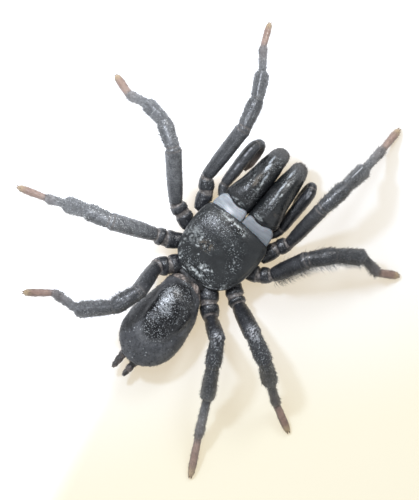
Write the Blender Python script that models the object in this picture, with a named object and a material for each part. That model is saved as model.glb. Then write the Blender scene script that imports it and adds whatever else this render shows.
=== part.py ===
"""A male black purseweb spider, life size, standing with its legs spread and its jaws forward.

The file is in metres with +Z up. The floor is z = 0, the head points to -Y and the spider's own left
side is +X. Lengths below are in millimetres: "left" runs from the mid-line to the spider's left,
"fore" from the middle of the carapace to the head, and "up" from the floor.
"""

import math

import bmesh
import bpy
from mathutils import Vector

MM = 0.001
GAP = 0.25  # between two neighbouring pieces
UP = Vector((0, 0, 1))

# The middle of the whole model's outline, which is the part's origin
MIDDLE_LEFT = 0.769
MIDDLE_FORE = 0.330

# Carapace: fore place, half width, height of the ridge and of the rim's upper edge
CARAPACE_STATIONS = (
    (2.08, 2.16, 2.46, 2.10),
    (2.03, 2.26, 2.66, 2.06),
    (1.86, 2.37, 2.82, 2.04),
    (1.50, 2.46, 2.98, 2.00),
    (0.90, 2.52, 3.06, 1.96),
    (0.25, 2.52, 3.00, 1.94),
    (-0.35, 2.45, 2.84, 1.92),
    (-0.90, 2.35, 2.64, 1.90),
    (-1.35, 2.20, 2.44, 1.88),
    (-1.75, 1.98, 2.26, 1.86),
    (-2.10, 1.62, 2.10, 1.84),
    (-2.38, 1.12, 1.96, 1.82),
    (-2.48, 0.80, 1.88, 1.80),
)
CARAPACE_FLOOR = 1.70
CARAPACE_SIDES = 28
HEAD_HALF_WIDTH = 1.55  # of the raised head region, at the front
HEAD_GROOVE = 0.09  # depth of the furrows that part the head region from the thorax
FOVEA_FORE = -1.40
FOVEA_HALF_WIDTH = 0.45
FOVEA_DEPTH = 0.16

# Eye mound on the front of the carapace, and its eight eyes: left, fore and radius
MOUND_FORE = 1.58
MOUND_UP = 2.86
MOUND_HALF = (0.64, 0.34, 0.34)
EYES = ((0.13, 0.06, 0.105), (0.42, 0.14, 0.115), (0.50, -0.07, 0.095), (0.31, -0.13, 0.08))

# Breastplate, with the lower lip at its front: fore place, half width, underside
STERNUM_STATIONS = (
    (2.35, 0.22, 0.86),
    (2.05, 0.34, 0.74),
    (1.75, 0.42, 0.66),
    (1.40, 0.74, 0.58),
    (0.70, 0.96, 0.50),
    (-0.20, 0.98, 0.48),
    (-1.00, 0.80, 0.52),
    (-1.55, 0.45, 0.62),
)
STERNUM_TOP = 1.38
STERNUM_SIDES = 16
STERNUM_FLATNESS = 0.7  # less than 1 is flatter

# Waist between the two halves of the body
PEDICEL_FORE = (-1.82, -2.56)
PEDICEL_UP = 1.22
PEDICEL_HALF = (0.50, 0.30)
PEDICEL_FOLDS = ((0.0, 0.86), (0.25, 1.0), (0.5, 0.9), (0.75, 1.0), (1.0, 0.84))  # share of length, swell
PEDICEL_SIDES = 14

# Abdomen, with the soft collar at its front: fore place, left place, half width, top, underside
ABDOMEN_STATIONS = (
    (-2.64, 0.05, 0.42, 1.72, 1.14),
    (-2.74, 0.08, 0.72, 1.86, 1.02),
    (-2.94, 0.12, 0.96, 2.00, 0.90),
    (-3.20, 0.12, 1.18, 2.16, 0.82),
    (-3.50, 0.06, 1.32, 2.52, 0.70),
    (-3.90, -0.04, 1.44, 2.80, 0.54),
    (-4.40, -0.10, 1.60, 2.94, 0.38),
    (-5.20, -0.12, 1.78, 2.96, 0.28),
    (-6.00, -0.12, 1.92, 2.90, 0.25),
    (-6.80, -0.12, 1.95, 2.80, 0.30),
    (-7.50, -0.12, 1.84, 2.64, 0.48),
    (-8.05, -0.12, 1.58, 2.44, 0.78),
    (-8.50, -0.12, 1.16, 2.20, 1.14),
    (-8.80, -0.12, 0.72, 2.00, 1.34),
    (-8.94, -0.12, 0.36, 1.84, 1.48),
)
ABDOMEN_SIDES = 24
SCUTUM_FORE = (-3.08, -7.05)  # the hard plate on its back, from front to rear
SCUTUM_HALF_WIDTH = 1.20
SCUTUM_RISE = 0.06

# Long rear spinnerets: from the underside of the abdomen to the tip
SPINNERET_PATH = ((0.45, -8.30, 0.80), (0.44, -9.10, 0.86), (0.41, -9.98, 0.92))
SPINNERET_PROFILE = ((0.0, 0.22), (0.35, 0.25), (0.7, 0.21), (0.92, 0.14), (1.0, 0.07))
SPINNERET_SIDES = 12

# Jaws: fore place, inner and outer edge, top, underside
CHELICERA_STATIONS = (
    (2.88, 0.16, 1.86, 2.50, 1.30),
    (3.10, 0.13, 1.98, 2.72, 1.22),
    (3.60, 0.13, 1.93, 2.92, 1.16),
    (4.30, 0.13, 1.76, 2.98, 1.14),
    (5.10, 0.13, 1.64, 2.86, 1.14),
    (5.90, 0.13, 1.54, 2.60, 1.12),
    (6.50, 0.14, 1.42, 2.28, 1.08),
    (6.95, 0.22, 1.26, 1.94, 1.06),
    (7.20, 0.38, 1.08, 1.70, 1.10),
    (7.30, 0.55, 0.90, 1.52, 1.22),
)
CHELICERA_SIDES = 18
CHELICERA_WAIST = 0.45  # where a jaw is widest, as a share of its height
FANG_PATH = ((0.76, 6.95, 0.68), (0.66, 6.35, 0.52), (0.54, 5.45, 0.50), (0.40, 4.55, 0.60))
FANG_PROFILE = ((0.0, 0.26), (0.3, 0.24), (0.6, 0.17), (0.85, 0.09), (1.0, 0.04))
FANG_SIDES = 10

# Soft fold between the carapace and the jaws: left place, rear edge, front edge, top
MEMBRANE_STATIONS = (
    (2.14, 2.30, 2.42, 2.30),
    (1.98, 2.26, 2.66, 2.40),
    (1.66, 2.26, 2.68, 2.46),
    (1.00, 2.27, 2.65, 2.54),
    (0.40, 2.28, 2.66, 2.58),
    (0.06, 2.30, 2.50, 2.54),
)
MEMBRANE_FLOOR = 1.62
MEMBRANE_SIDES = 12

FOOT_UP = 0.09  # height of the middle of each foot's tip
# Joints of each leg, (left, fore, up), from the breastplate out to the tip of the foot
LEG_JOINTS = {
    "left_1": (
        (1.05, 1.40, 1.00), (2.60, 1.35, 1.05), (2.92, 2.20, 1.18), (3.50, 2.92, 1.36), (3.62, 6.74, 3.40),
        (4.14, 8.62, 3.42), (4.92, 10.08, 2.10), (5.94, 11.40, 0.82), (6.58, 12.82, FOOT_UP),
    ),
    "left_2": (
        (1.28, 0.42, 1.00), (2.55, -0.04, 1.05), (3.24, 0.22, 1.18), (3.92, 0.42, 1.36), (6.20, 2.92, 3.50),
        (7.75, 3.88, 3.25), (9.22, 4.06, 1.98), (10.48, 3.76, 0.72), (11.88, 4.18, FOOT_UP),
    ),
    "left_3": (
        (1.24, -0.50, 1.00), (2.55, -1.45, 1.05), (3.05, -1.72, 1.18), (3.66, -1.90, 1.36),
        (6.35, -3.06, 3.70), (7.90, -3.52, 3.45), (9.10, -3.98, 2.10), (10.30, -4.50, 0.80),
        (12.16, -5.12, FOOT_UP),
    ),
    "left_4": (
        (0.92, -1.42, 1.00), (1.50, -2.32, 1.05), (1.90, -2.80, 1.18), (2.38, -3.36, 1.40),
        (2.17, -5.36, 4.00), (2.76, -7.05, 3.85), (4.34, -8.60, 2.40), (6.18, -8.75, 0.88),
        (7.68, -9.96, FOOT_UP),
    ),
    "right_1": (
        (-1.05, 1.40, 1.00), (-2.45, 1.40, 1.05), (-2.75, 2.28, 1.18), (-3.14, 3.00, 1.36),
        (-3.34, 5.95, 3.90), (-3.60, 7.95, 3.95), (-3.82, 9.55, 2.40), (-3.88, 11.25, 1.00),
        (-3.88, 12.84, FOOT_UP),
    ),
    "right_2": (
        (-1.28, 0.42, 1.00), (-2.40, 0.05, 1.05), (-2.98, 0.28, 1.18), (-3.58, 0.78, 1.36),
        (-4.70, 2.98, 2.65), (-5.85, 4.30, 2.70), (-7.25, 5.28, 1.85), (-8.55, 5.12, 0.86),
        (-9.68, 5.80, FOOT_UP),
    ),
    "right_3": (
        (-1.24, -0.50, 1.00), (-2.28, -1.38, 1.05), (-2.70, -1.74, 1.18), (-3.22, -2.02, 1.36),
        (-5.08, -2.84, 3.90), (-6.73, -3.68, 3.70), (-7.78, -4.45, 2.20), (-8.95, -5.25, 0.82),
        (-10.62, -6.10, FOOT_UP),
    ),
    "right_4": (
        (-0.84, -1.46, 1.00), (-1.22, -2.40, 1.05), (-1.78, -3.05, 1.18), (-2.44, -3.72, 1.36),
        (-3.52, -4.48, 4.20), (-4.38, -5.98, 3.50), (-5.38, -7.72, 2.05), (-6.52, -9.98, 0.86),
        (-7.70, -12.16, FOOT_UP),
    ),
}
# How thick each leg is beside the profiles below: coxa, femur, patella and tibia, foot
LEG_GIRTH = {
    "left_1": (1.00, 0.98, 0.98, 0.88),
    "left_2": (1.06, 1.05, 1.00, 1.06),
    "left_3": (1.10, 1.09, 1.08, 0.98),
    "left_4": (1.00, 1.03, 1.10, 1.00),
    "right_1": (1.00, 0.92, 1.02, 0.98),
    "right_2": (1.04, 1.10, 1.08, 1.06),
    "right_3": (1.10, 1.12, 1.08, 1.00),
    "right_4": (1.00, 1.03, 1.03, 1.00),
}
LEG_SIDES = 12
LEAN_REACH = 1.6  # how far from a joint rings start to lean, beside what its bend needs

# Thickness of each leg segment: share of its length, half width
HIP_PROFILE = ((0.0, 0.32), (0.3, 0.38), (0.75, 0.46), (1.0, 0.50))
COXA_PROFILE = ((0.0, 0.50), (0.5, 0.53), (1.0, 0.46))
TROCHANTER_PROFILE = ((0.0, 0.46), (0.5, 0.51), (1.0, 0.39))
FEMUR_PROFILE = (
    (0.0, 0.38), (0.12, 0.43), (0.3, 0.475), (0.6, 0.50), (0.85, 0.51), (0.95, 0.51), (1.0, 0.47),
)
PATELLA_PROFILE = ((0.0, 0.44), (0.2, 0.46), (0.5, 0.49), (0.86, 0.49), (1.0, 0.42))
TIBIA_PROFILE = ((0.0, 0.38), (0.18, 0.42), (0.5, 0.45), (0.8, 0.47), (0.93, 0.45), (1.0, 0.36))
METATARSUS_PROFILE = ((0.0, 0.25), (0.2, 0.27), (0.6, 0.28), (0.86, 0.305), (1.0, 0.245))
TARSUS_PROFILE = ((0.0, 0.225), (0.2, 0.235), (0.5, 0.25), (0.8, 0.235), (0.94, 0.18), (1.0, 0.10))
CLAW_SPREAD = 0.07
CLAW_REACH = 0.26
CLAW_PROFILE = ((0.0, 0.05), (0.5, 0.04), (1.0, 0.015))
CLAW_SIDES = 6

# Joints of each palp: maxilla, its outer end, trochanter, femur end, knee, patella end, tibia end, tip
PALP_JOINTS = {
    "left": (
        (0.72, 2.16, 0.96), (1.85, 2.62, 1.00), (2.32, 3.32, 1.14), (2.42, 6.32, 1.86),
        (2.06, 6.58, 1.50), (1.93, 5.75, 0.96), (1.93, 4.74, 0.72),
    ),
    "right": (
        (-0.72, 2.16, 0.96), (-1.80, 2.62, 1.00), (-2.18, 3.42, 1.14), (-2.14, 6.30, 1.86),
        (-1.98, 6.62, 1.50), (-2.04, 5.78, 0.92), (-2.05, 4.66, 0.70),
    ),
}
PALP_COXA_PROFILE = ((0.0, 0.26), (0.4, 0.36), (1.0, 0.34))
PALP_TROCHANTER_PROFILE = ((0.0, 0.34), (0.5, 0.36), (1.0, 0.30))
PALP_FEMUR_PROFILE = ((0.0, 0.30), (0.15, 0.38), (0.5, 0.42), (0.85, 0.40), (1.0, 0.32))
PALP_PATELLA_PROFILE = ((0.0, 0.28), (0.5, 0.32), (1.0, 0.26))
PALP_TIBIA_PROFILE = ((0.0, 0.26), (0.5, 0.27), (1.0, 0.24))
PALP_TARSUS_PROFILE = ((0.0, 0.24), (0.4, 0.26), (0.8, 0.20), (1.0, 0.08))
MAXILLA_LOBE = ((0.95, 2.45, 0.80), (0.72, 3.05, 0.74), (0.50, 3.60, 0.72))
MAXILLA_LOBE_PROFILE = ((0.0, 0.20), (0.4, 0.24), (0.8, 0.16), (1.0, 0.07))
MAXILLA_LOBE_SIDES = 10

# Colours, with roughness
BLACK_SHELL = ((0.012, 0.013, 0.015), 0.22)
BLACK_LEG = ((0.016, 0.017, 0.020), 0.30)
ABDOMEN_BLACK = ((0.022, 0.022, 0.024), 0.48)
FOOT_BROWN = ((0.120, 0.055, 0.045), 0.45)
MEMBRANE_GREY = ((0.480, 0.470, 0.560), 0.50)
EYE_BLACK = ((0.010, 0.010, 0.010), 0.06)
FANG_BROWN = ((0.060, 0.015, 0.010), 0.20)
WAIST_BROWN = ((0.140, 0.060, 0.045), 0.45)


def place(left, fore, up):
    """The point in the file's frame, in metres."""
    return Vector((left - MIDDLE_LEFT, MIDDLE_FORE - fore, up)) * MM


def collection(name):
    made = bpy.data.collections.new(name)
    bpy.context.scene.collection.children.link(made)
    return made


def finish_of(name, look):
    colour, roughness = look
    material = bpy.data.materials.new(name)
    material.use_nodes = True
    shader = material.node_tree.nodes["Principled BSDF"]
    shader.inputs["Base Color"].default_value = (*colour, 1.0)
    shader.inputs["Roughness"].default_value = roughness
    shader.inputs["Metallic"].default_value = 0.0
    return material


def new_object(name, mesh, look, into):
    thing = bpy.data.objects.new(name, mesh)
    mesh.materials.append(finish_of(name, look))
    into.objects.link(thing)
    mesh.shade_smooth()
    mesh.set_sharp_from_angle(angle=math.radians(50))
    return thing


def mesh_from_rings(name, rings):
    """A closed surface through rings that each hold the same number of points."""
    shape = bmesh.new()
    rows = [[shape.verts.new(point) for point in ring] for ring in rings]
    sides = len(rows[0])
    for near, far in zip(rows, rows[1:]):
        for i in range(sides):
            j = (i + 1) % sides
            shape.faces.new((near[i], near[j], far[j], far[i]))
    shape.faces.new(reversed(rows[0]))
    shape.faces.new(rows[-1])
    bmesh.ops.recalc_face_normals(shape, faces=shape.faces)
    mesh = bpy.data.meshes.new(name)
    shape.to_mesh(mesh)
    shape.free()
    return mesh


def leaned(own, mitre, distance, radius):
    """The direction square to a ring this far from a joint: it leans towards the joint's mitre plane."""
    half_bend = own.angle(mitre)
    reach = LEAN_REACH * radius * math.tan(half_bend)
    share = max(0.0, 1.0 - distance / reach) if reach > 0 else 0.0
    return own.lerp(mitre, share).normalized()


def limb_rings(joints, profiles, girth, before=None, after=None):
    """Rings along a bent limb. The end rings lie in the mitre plane of the piece before or after."""
    points = [place(*joint) / MM for joint in joints]
    directions = [(b - a).normalized() for a, b in zip(points, points[1:])]
    head = (points[0] - place(*before) / MM).normalized() if before else directions[0]
    tail = (place(*after) / MM - points[-1]).normalized() if after else directions[-1]
    chain = [head] + directions + [tail]
    rings = []
    side = directions[0].cross(UP)
    for number, profile in enumerate(profiles):
        start, end = points[number], points[number + 1]
        own = directions[number]
        length = (end - start).length
        start_mitre = (chain[number] + own).normalized()
        end_mitre = (own + chain[number + 2]).normalized()
        start_gap = GAP / 2 if before and number == 0 else 0.0
        end_gap = GAP / 2 if after and number == len(profiles) - 1 else 0.0
        for share, half_width in profile[1 if number else 0:]:
            radius = half_width * girth
            along = start_gap + (length - start_gap - end_gap) * share
            if along < length / 2:
                tangent = leaned(own, start_mitre, along - start_gap, radius)
            else:
                tangent = leaned(own, end_mitre, length - end_gap - along, radius)
            side = (side - tangent * side.dot(tangent)).normalized()
            above = side.cross(tangent)
            centre = start + own * along
            ring = []
            for i in range(LEG_SIDES):
                turn = math.tau * i / LEG_SIDES
                ring.append((centre + (side * math.cos(turn) + above * math.sin(turn)) * radius) * MM)
            rings.append(ring)
    return rings


def cut_at_floor(mesh):
    """Cuts off what would reach below the floor, which leaves a small flat."""
    shape = bmesh.new()
    shape.from_mesh(mesh)
    everything = shape.verts[:] + shape.edges[:] + shape.faces[:]
    cut = bmesh.ops.bisect_plane(
        shape, geom=everything, dist=1e-7, plane_co=(0, 0, 0), plane_no=(0, 0, -1), clear_outer=True
    )
    edges = [piece for piece in cut["geom_cut"] if isinstance(piece, bmesh.types.BMEdge)]
    if edges:
        bmesh.ops.holes_fill(shape, edges=edges)
    bmesh.ops.recalc_face_normals(shape, faces=shape.faces)
    shape.to_mesh(mesh)
    shape.free()


def boolean(thing, operation, others):
    """Applies one Boolean with the given objects to the thing, and removes them."""
    tools = collection(thing.name + "_tools")
    for other in others:
        for holder in other.users_collection:
            holder.objects.unlink(other)
        tools.objects.link(other)
        other.hide_render = True
        other.display_type = "WIRE"
    change = thing.modifiers.new("Join", "BOOLEAN")
    change.operand_type = "COLLECTION"
    change.collection = tools
    change.operation = operation
    change.solver = "EXACT"
    bpy.context.view_layer.update()
    graph = bpy.context.evaluated_depsgraph_get()
    mesh = bpy.data.meshes.new_from_object(thing.evaluated_get(graph))
    thing.modifiers.clear()
    thing.data = mesh
    for other in others:
        bpy.data.objects.remove(other)
    bpy.data.collections.remove(tools)
    keep_largest(mesh)
    mesh.shade_smooth()
    mesh.set_sharp_from_angle(angle=math.radians(50))


def keep_largest(mesh):
    """Leaves only the largest closed surface of the mesh."""
    shape = bmesh.new()
    shape.from_mesh(mesh)
    bmesh.ops.triangulate(shape, faces=shape.faces)
    shape.verts.ensure_lookup_table()
    seen = set()
    bodies = []
    for vertex in shape.verts:
        if vertex in seen:
            continue
        body = {vertex}
        edge_of_body = [vertex]
        while edge_of_body:
            for edge in edge_of_body.pop().link_edges:
                for end in edge.verts:
                    if end not in body:
                        body.add(end)
                        edge_of_body.append(end)
        seen |= body
        bodies.append(body)
    bodies.sort(key=len)
    for body in bodies[:-1]:
        bmesh.ops.delete(shape, geom=list(body), context="VERTS")
    shape.to_mesh(mesh)
    shape.free()


def smooth_rows(rows, steps):
    """The rows with more between them, on a smooth curve through them all."""
    made = []
    for i in range(len(rows) - 1):
        before, a, b, after = rows[max(i - 1, 0)], rows[i], rows[i + 1], rows[min(i + 2, len(rows) - 1)]
        for step in range(steps):
            t = step / steps
            weights = (
                (-t + 2 * t**2 - t**3) / 2,
                (2 - 5 * t**2 + 3 * t**3) / 2,
                (t + 4 * t**2 - 3 * t**3) / 2,
                (t**3 - t**2) / 2,
            )
            four = zip(before, a, b, after)
            made.append(tuple(sum(w * v for w, v in zip(weights, values)) for values in four))
    made.append(rows[-1])
    return made


def smooth_step(value):
    held = min(max(value, 0.0), 1.0)
    return held * held * (3 - 2 * held)


def carapace_relief(left, fore):
    """The furrows on the carapace: two that part off the head, and the pit behind them."""
    head_edge = HEAD_HALF_WIDTH * smooth_step((fore - FOVEA_FORE) / (2.0 - FOVEA_FORE)) + 0.25
    groove = math.exp(-(((abs(left) - head_edge) / 0.28) ** 2)) * smooth_step((2.1 - fore) / 0.6)
    inside = smooth_step((fore - FOVEA_FORE) / 0.3)
    pit = math.exp(-((left / FOVEA_HALF_WIDTH) ** 2) - (((fore - FOVEA_FORE) / 0.2) ** 2))
    return -HEAD_GROOVE * groove * inside - FOVEA_DEPTH * pit


def make_carapace(into):
    """The back shield of the front half: a low dome with a flat underside."""
    rings = []
    for fore, half_width, top, rim in smooth_rows(CARAPACE_STATIONS, 2):
        ring = []
        upper = CARAPACE_SIDES // 2 + 4
        for i in range(upper + 1):
            turn = math.pi * i / upper
            left = half_width * math.cos(turn)
            dome = math.sin(turn) ** 0.8
            relief = carapace_relief(left, fore) * smooth_step(math.sin(turn) * 2)
            ring.append(place(left, fore, rim + (top - rim) * dome + relief))
        lower = CARAPACE_SIDES - upper - 1
        for i in range(lower):
            turn = math.pi * (i + 0.5) / lower
            left = -(half_width - 0.18) * math.cos(turn)
            ring.append(place(left, fore, CARAPACE_FLOOR))
        rings.append(ring)
    return new_object("carapace", mesh_from_rings("carapace", rings), BLACK_SHELL, into)


def dome(name, left, fore, up, half, look, into, segments=16, rows=10):
    """A closed ball stretched to the three half sizes."""
    shape = bmesh.new()
    bmesh.ops.create_uvsphere(shape, u_segments=segments, v_segments=rows, radius=1.0)
    bmesh.ops.scale(shape, vec=Vector(half) * MM, verts=shape.verts)
    bmesh.ops.translate(shape, vec=place(left, fore, up), verts=shape.verts)
    mesh = bpy.data.meshes.new(name)
    shape.to_mesh(mesh)
    shape.free()
    return new_object(name, mesh, look, into)


def mound_height(left, fore):
    """The height of the eye mound's surface above its centre."""
    spread = (left / MOUND_HALF[0]) ** 2 + (fore / MOUND_HALF[1]) ** 2
    return MOUND_HALF[2] * math.sqrt(max(0.0, 1 - spread))


def make_eye_group(carapace, into):
    """The eye mound with its eyes, in a socket cut into the carapace."""
    socket_half = [half + GAP for half in MOUND_HALF]
    socket = dome("socket", 0, MOUND_FORE, MOUND_UP, socket_half, EYE_BLACK, into)
    boolean(carapace, "DIFFERENCE", [socket])
    mound = dome("eye_group", 0, MOUND_FORE, MOUND_UP, MOUND_HALF, EYE_BLACK, into)
    eyes = []
    for side in (1, -1):
        for left, fore, radius in EYES:
            up = MOUND_UP + mound_height(left, fore)
            ball = (radius,) * 3
            eyes.append(
                dome("eye", side * left, MOUND_FORE + fore, up, ball, EYE_BLACK, into, segments=10, rows=6)
            )
    boolean(mound, "UNION", eyes)


def make_sternum(into):
    rings = []
    for fore, half_width, underside in STERNUM_STATIONS:
        middle = (STERNUM_TOP + underside) / 2
        half_height = (STERNUM_TOP - underside) / 2
        ring = []
        for i in range(STERNUM_SIDES):
            turn = math.tau * i / STERNUM_SIDES
            bulge = abs(math.sin(turn)) ** STERNUM_FLATNESS * math.copysign(1, math.sin(turn))
            ring.append(place(half_width * math.cos(turn), fore, middle + half_height * bulge))
        rings.append(ring)
    new_object("sternum", mesh_from_rings("sternum", rings), BLACK_SHELL, into)


def make_pedicel(into):
    rings = []
    front, rear = PEDICEL_FORE
    half_width, half_height = PEDICEL_HALF
    for share, swell in PEDICEL_FOLDS:
        fore = front + (rear - front) * share
        ring = []
        for i in range(PEDICEL_SIDES):
            turn = math.tau * i / PEDICEL_SIDES
            left = half_width * swell * math.cos(turn)
            ring.append(place(left, fore, PEDICEL_UP + half_height * swell * math.sin(turn)))
        rings.append(ring)
    new_object("pedicel", mesh_from_rings("pedicel", rings), WAIST_BROWN, into)


def scutum_rise(left, fore):
    front, rear = SCUTUM_FORE
    middle = (front + rear) / 2
    half_length = (front - rear) / 2
    spread = math.hypot(left / SCUTUM_HALF_WIDTH, (fore - middle) / half_length)
    return SCUTUM_RISE * smooth_step((1.08 - spread) / 0.16)


def make_abdomen(into):
    rings = []
    for fore, middle_left, half_width, top, underside in smooth_rows(ABDOMEN_STATIONS, 2):
        middle = (top + underside) / 2
        half_height = (top - underside) / 2
        ring = []
        for i in range(ABDOMEN_SIDES):
            turn = math.tau * i / ABDOMEN_SIDES
            left = half_width * math.cos(turn)
            up = middle + half_height * math.sin(turn)
            if math.sin(turn) > 0:
                up += scutum_rise(left, fore)
            ring.append(place(middle_left + left, fore, up))
        rings.append(ring)
    new_object("abdomen", mesh_from_rings("abdomen", rings), ABDOMEN_BLACK, into)


def make_spinnerets(into):
    for side, name in ((1, "left"), (-1, "right")):
        path = [(side * left, fore, up) for left, fore, up in SPINNERET_PATH]
        rings = tube_rings(path, SPINNERET_PROFILE, SPINNERET_SIDES)
        name = "spinneret_" + name
        new_object(name, mesh_from_rings(name, rings), ABDOMEN_BLACK, into)


def curve_point(path, share):
    """A point on the smooth curve whose control points are the path."""
    points = [Vector(point) for point in path]
    while len(points) > 1:
        points = [a.lerp(b, share) for a, b in zip(points, points[1:])]
    return points[0]


def tube_rings(path, profile, sides):
    """Rings along a smooth curve, square to it."""
    rings = []
    for share, radius in profile:
        centre = place(*curve_point(path, share))
        ahead = place(*curve_point(path, min(share + 0.02, 1.0)))
        behind = place(*curve_point(path, max(share - 0.02, 0.0)))
        tangent = (ahead - behind).normalized()
        side = tangent.cross(UP).normalized()
        above = side.cross(tangent)
        turns = [math.tau * i / sides for i in range(sides)]
        rings.append([centre + (side * math.cos(t) + above * math.sin(t)) * radius * MM for t in turns])
    return rings


def make_chelicera(side, name, into):
    """One jaw, without its fang."""
    rings = []
    for fore, inner, outer, top, underside in smooth_rows(CHELICERA_STATIONS, 2):
        middle_left = (inner + outer) / 2
        half_width = (outer - inner) / 2
        middle = underside + (top - underside) * CHELICERA_WAIST
        ring = []
        for i in range(CHELICERA_SIDES):
            turn = math.tau * i / CHELICERA_SIDES
            reach = top - middle if math.sin(turn) > 0 else middle - underside
            left = middle_left + half_width * math.cos(turn)
            ring.append(place(side * left, fore, middle + reach * math.sin(turn)))
        rings.append(ring)
    name = "chelicera_" + name
    new_object(name, mesh_from_rings(name, rings), BLACK_SHELL, into)


def make_fang(side, name, into):
    path = [(side * left, fore, up) for left, fore, up in FANG_PATH]
    name = "fang_" + name
    new_object(name, mesh_from_rings(name, tube_rings(path, FANG_PROFILE, FANG_SIDES)), FANG_BROWN, into)


def make_membrane(into):
    """The soft fold, from one side to the other."""
    rings = []
    half = [(left, rear, front, top) for left, rear, front, top in MEMBRANE_STATIONS]
    whole = half + [(-left, rear, front, top) for left, rear, front, top in reversed(half)]
    for left, rear, front, top in whole:
        middle_fore = (rear + front) / 2
        half_length = (front - rear) / 2
        middle = (top + MEMBRANE_FLOOR) / 2
        half_height = (top - MEMBRANE_FLOOR) / 2
        ring = []
        for i in range(MEMBRANE_SIDES):
            turn = math.tau * i / MEMBRANE_SIDES
            fore = middle_fore + half_length * math.cos(turn)
            ring.append(place(left, fore, middle + half_height * math.sin(turn)))
        rings.append(ring)
    name = "cheliceral_membrane"
    new_object(name, mesh_from_rings(name, rings), MEMBRANE_GREY, into)


def make_limb(name, joints, profiles, look, into, girth=1.0, before=None, after=None):
    rings = limb_rings(joints, profiles, girth, before, after)
    return new_object(name, mesh_from_rings(name, rings), look, into)


def make_claws(foot, joints, into):
    """Two claws on the tip of a foot, fused to it."""
    tip = Vector(joints[-1])
    ahead = Vector((joints[-1][0] - joints[-2][0], joints[-1][1] - joints[-2][1], 0)).normalized()
    across = Vector((-ahead.y, ahead.x, 0))
    claws = []
    for side in (1, -1):
        root = tip + across * CLAW_SPREAD * side - ahead * CLAW_REACH / 2 + UP * 0.08
        bend = root + ahead * CLAW_REACH * 0.8 + UP * 0.06
        end = root + ahead * CLAW_REACH - UP * 0.14
        rings = tube_rings([root, bend, end], CLAW_PROFILE, CLAW_SIDES)
        claws.append(new_object("claw", mesh_from_rings("claw", rings), FOOT_BROWN, into))
    boolean(foot, "UNION", claws)


def make_leg(name, joints, into):
    """One leg: the coxa with the trochanter, the femur, the patella with the tibia, and the foot."""
    leg = "leg_" + name
    coxa_girth, femur_girth, tibia_girth, foot_girth = LEG_GIRTH[name]
    make_limb(
        leg + "_coxa", joints[:4], (HIP_PROFILE, COXA_PROFILE, TROCHANTER_PROFILE), BLACK_LEG, into,
        coxa_girth, after=joints[4],
    )
    make_limb(
        leg + "_femur", joints[3:5], (FEMUR_PROFILE,), BLACK_LEG, into, femur_girth,
        before=joints[2], after=joints[5],
    )
    make_limb(
        leg + "_tibia", joints[4:7], (PATELLA_PROFILE, TIBIA_PROFILE), BLACK_LEG, into, tibia_girth,
        before=joints[3], after=joints[7],
    )
    foot = make_limb(
        leg + "_foot", joints[6:], (METATARSUS_PROFILE, TARSUS_PROFILE), FOOT_BROWN, into, foot_girth,
        before=joints[5],
    )
    cut_at_floor(foot.data)
    make_claws(foot, joints, into)


def make_palp(name, joints, into):
    """One palp as three pieces: the maxilla with its lobe and the trochanter, the femur, and the rest."""
    palp = "palp_" + name
    coxa = make_limb(
        palp + "_coxa", joints[:3], (PALP_COXA_PROFILE, PALP_TROCHANTER_PROFILE), BLACK_LEG, into,
        after=joints[3],
    )
    side = 1 if joints[0][0] > 0 else -1
    lobe_path = [(side * left, fore, up) for left, fore, up in MAXILLA_LOBE]
    lobe_mesh = mesh_from_rings("lobe", tube_rings(lobe_path, MAXILLA_LOBE_PROFILE, MAXILLA_LOBE_SIDES))
    boolean(coxa, "UNION", [new_object("lobe", lobe_mesh, BLACK_LEG, into)])
    make_limb(
        palp + "_femur", joints[2:4], (PALP_FEMUR_PROFILE,), BLACK_LEG, into,
        before=joints[1], after=joints[4],
    )
    make_limb(
        palp + "_tip", joints[3:], (PALP_PATELLA_PROFILE, PALP_TIBIA_PROFILE, PALP_TARSUS_PROFILE),
        BLACK_LEG, into, before=joints[2],
    )


def main():
    for thing in list(bpy.data.objects):
        bpy.data.objects.remove(thing)
    spider = collection("black_purseweb_spider")
    carapace = make_carapace(spider)
    make_eye_group(carapace, spider)
    make_sternum(spider)
    make_pedicel(spider)
    make_abdomen(spider)
    make_spinnerets(spider)
    make_membrane(spider)
    for side, name in ((1, "left"), (-1, "right")):
        make_chelicera(side, name, spider)
        make_fang(side, name, spider)
        make_palp(name, PALP_JOINTS[name], spider)
    for name, joints in LEG_JOINTS.items():
        make_leg(name, joints, spider)


main()
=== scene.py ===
"""The looks of the standing male black purseweb spider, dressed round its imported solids.

The frame is the solids' own: metres, +Z up, the head to -Y and the spider's own left side to +X. Lengths
are in millimetres: "left" runs from the mid-line to the spider's left, "fore" from the middle of the
carapace to the head, and "up" from the floor.
"""

import math

import bpy
import numpy as np
from mathutils import Matrix, Vector, noise


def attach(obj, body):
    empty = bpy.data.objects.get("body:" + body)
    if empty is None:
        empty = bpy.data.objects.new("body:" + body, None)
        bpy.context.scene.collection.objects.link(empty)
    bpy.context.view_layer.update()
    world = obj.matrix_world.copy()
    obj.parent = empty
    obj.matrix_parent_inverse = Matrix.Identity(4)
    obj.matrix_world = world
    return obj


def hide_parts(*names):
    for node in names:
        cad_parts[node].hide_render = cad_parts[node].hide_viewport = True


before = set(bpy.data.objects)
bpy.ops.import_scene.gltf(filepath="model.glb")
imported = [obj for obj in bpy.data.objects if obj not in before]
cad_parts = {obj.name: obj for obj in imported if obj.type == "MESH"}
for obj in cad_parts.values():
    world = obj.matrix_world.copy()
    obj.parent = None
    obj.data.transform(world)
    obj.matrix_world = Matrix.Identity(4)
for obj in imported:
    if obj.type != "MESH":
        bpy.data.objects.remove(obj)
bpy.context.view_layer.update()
draw = np.random.default_rng(7)

MM = 0.001
MIDDLE_LEFT = 0.769
MIDDLE_FORE = 0.330
UP = np.array((0.0, 0.0, 1.0))

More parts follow.
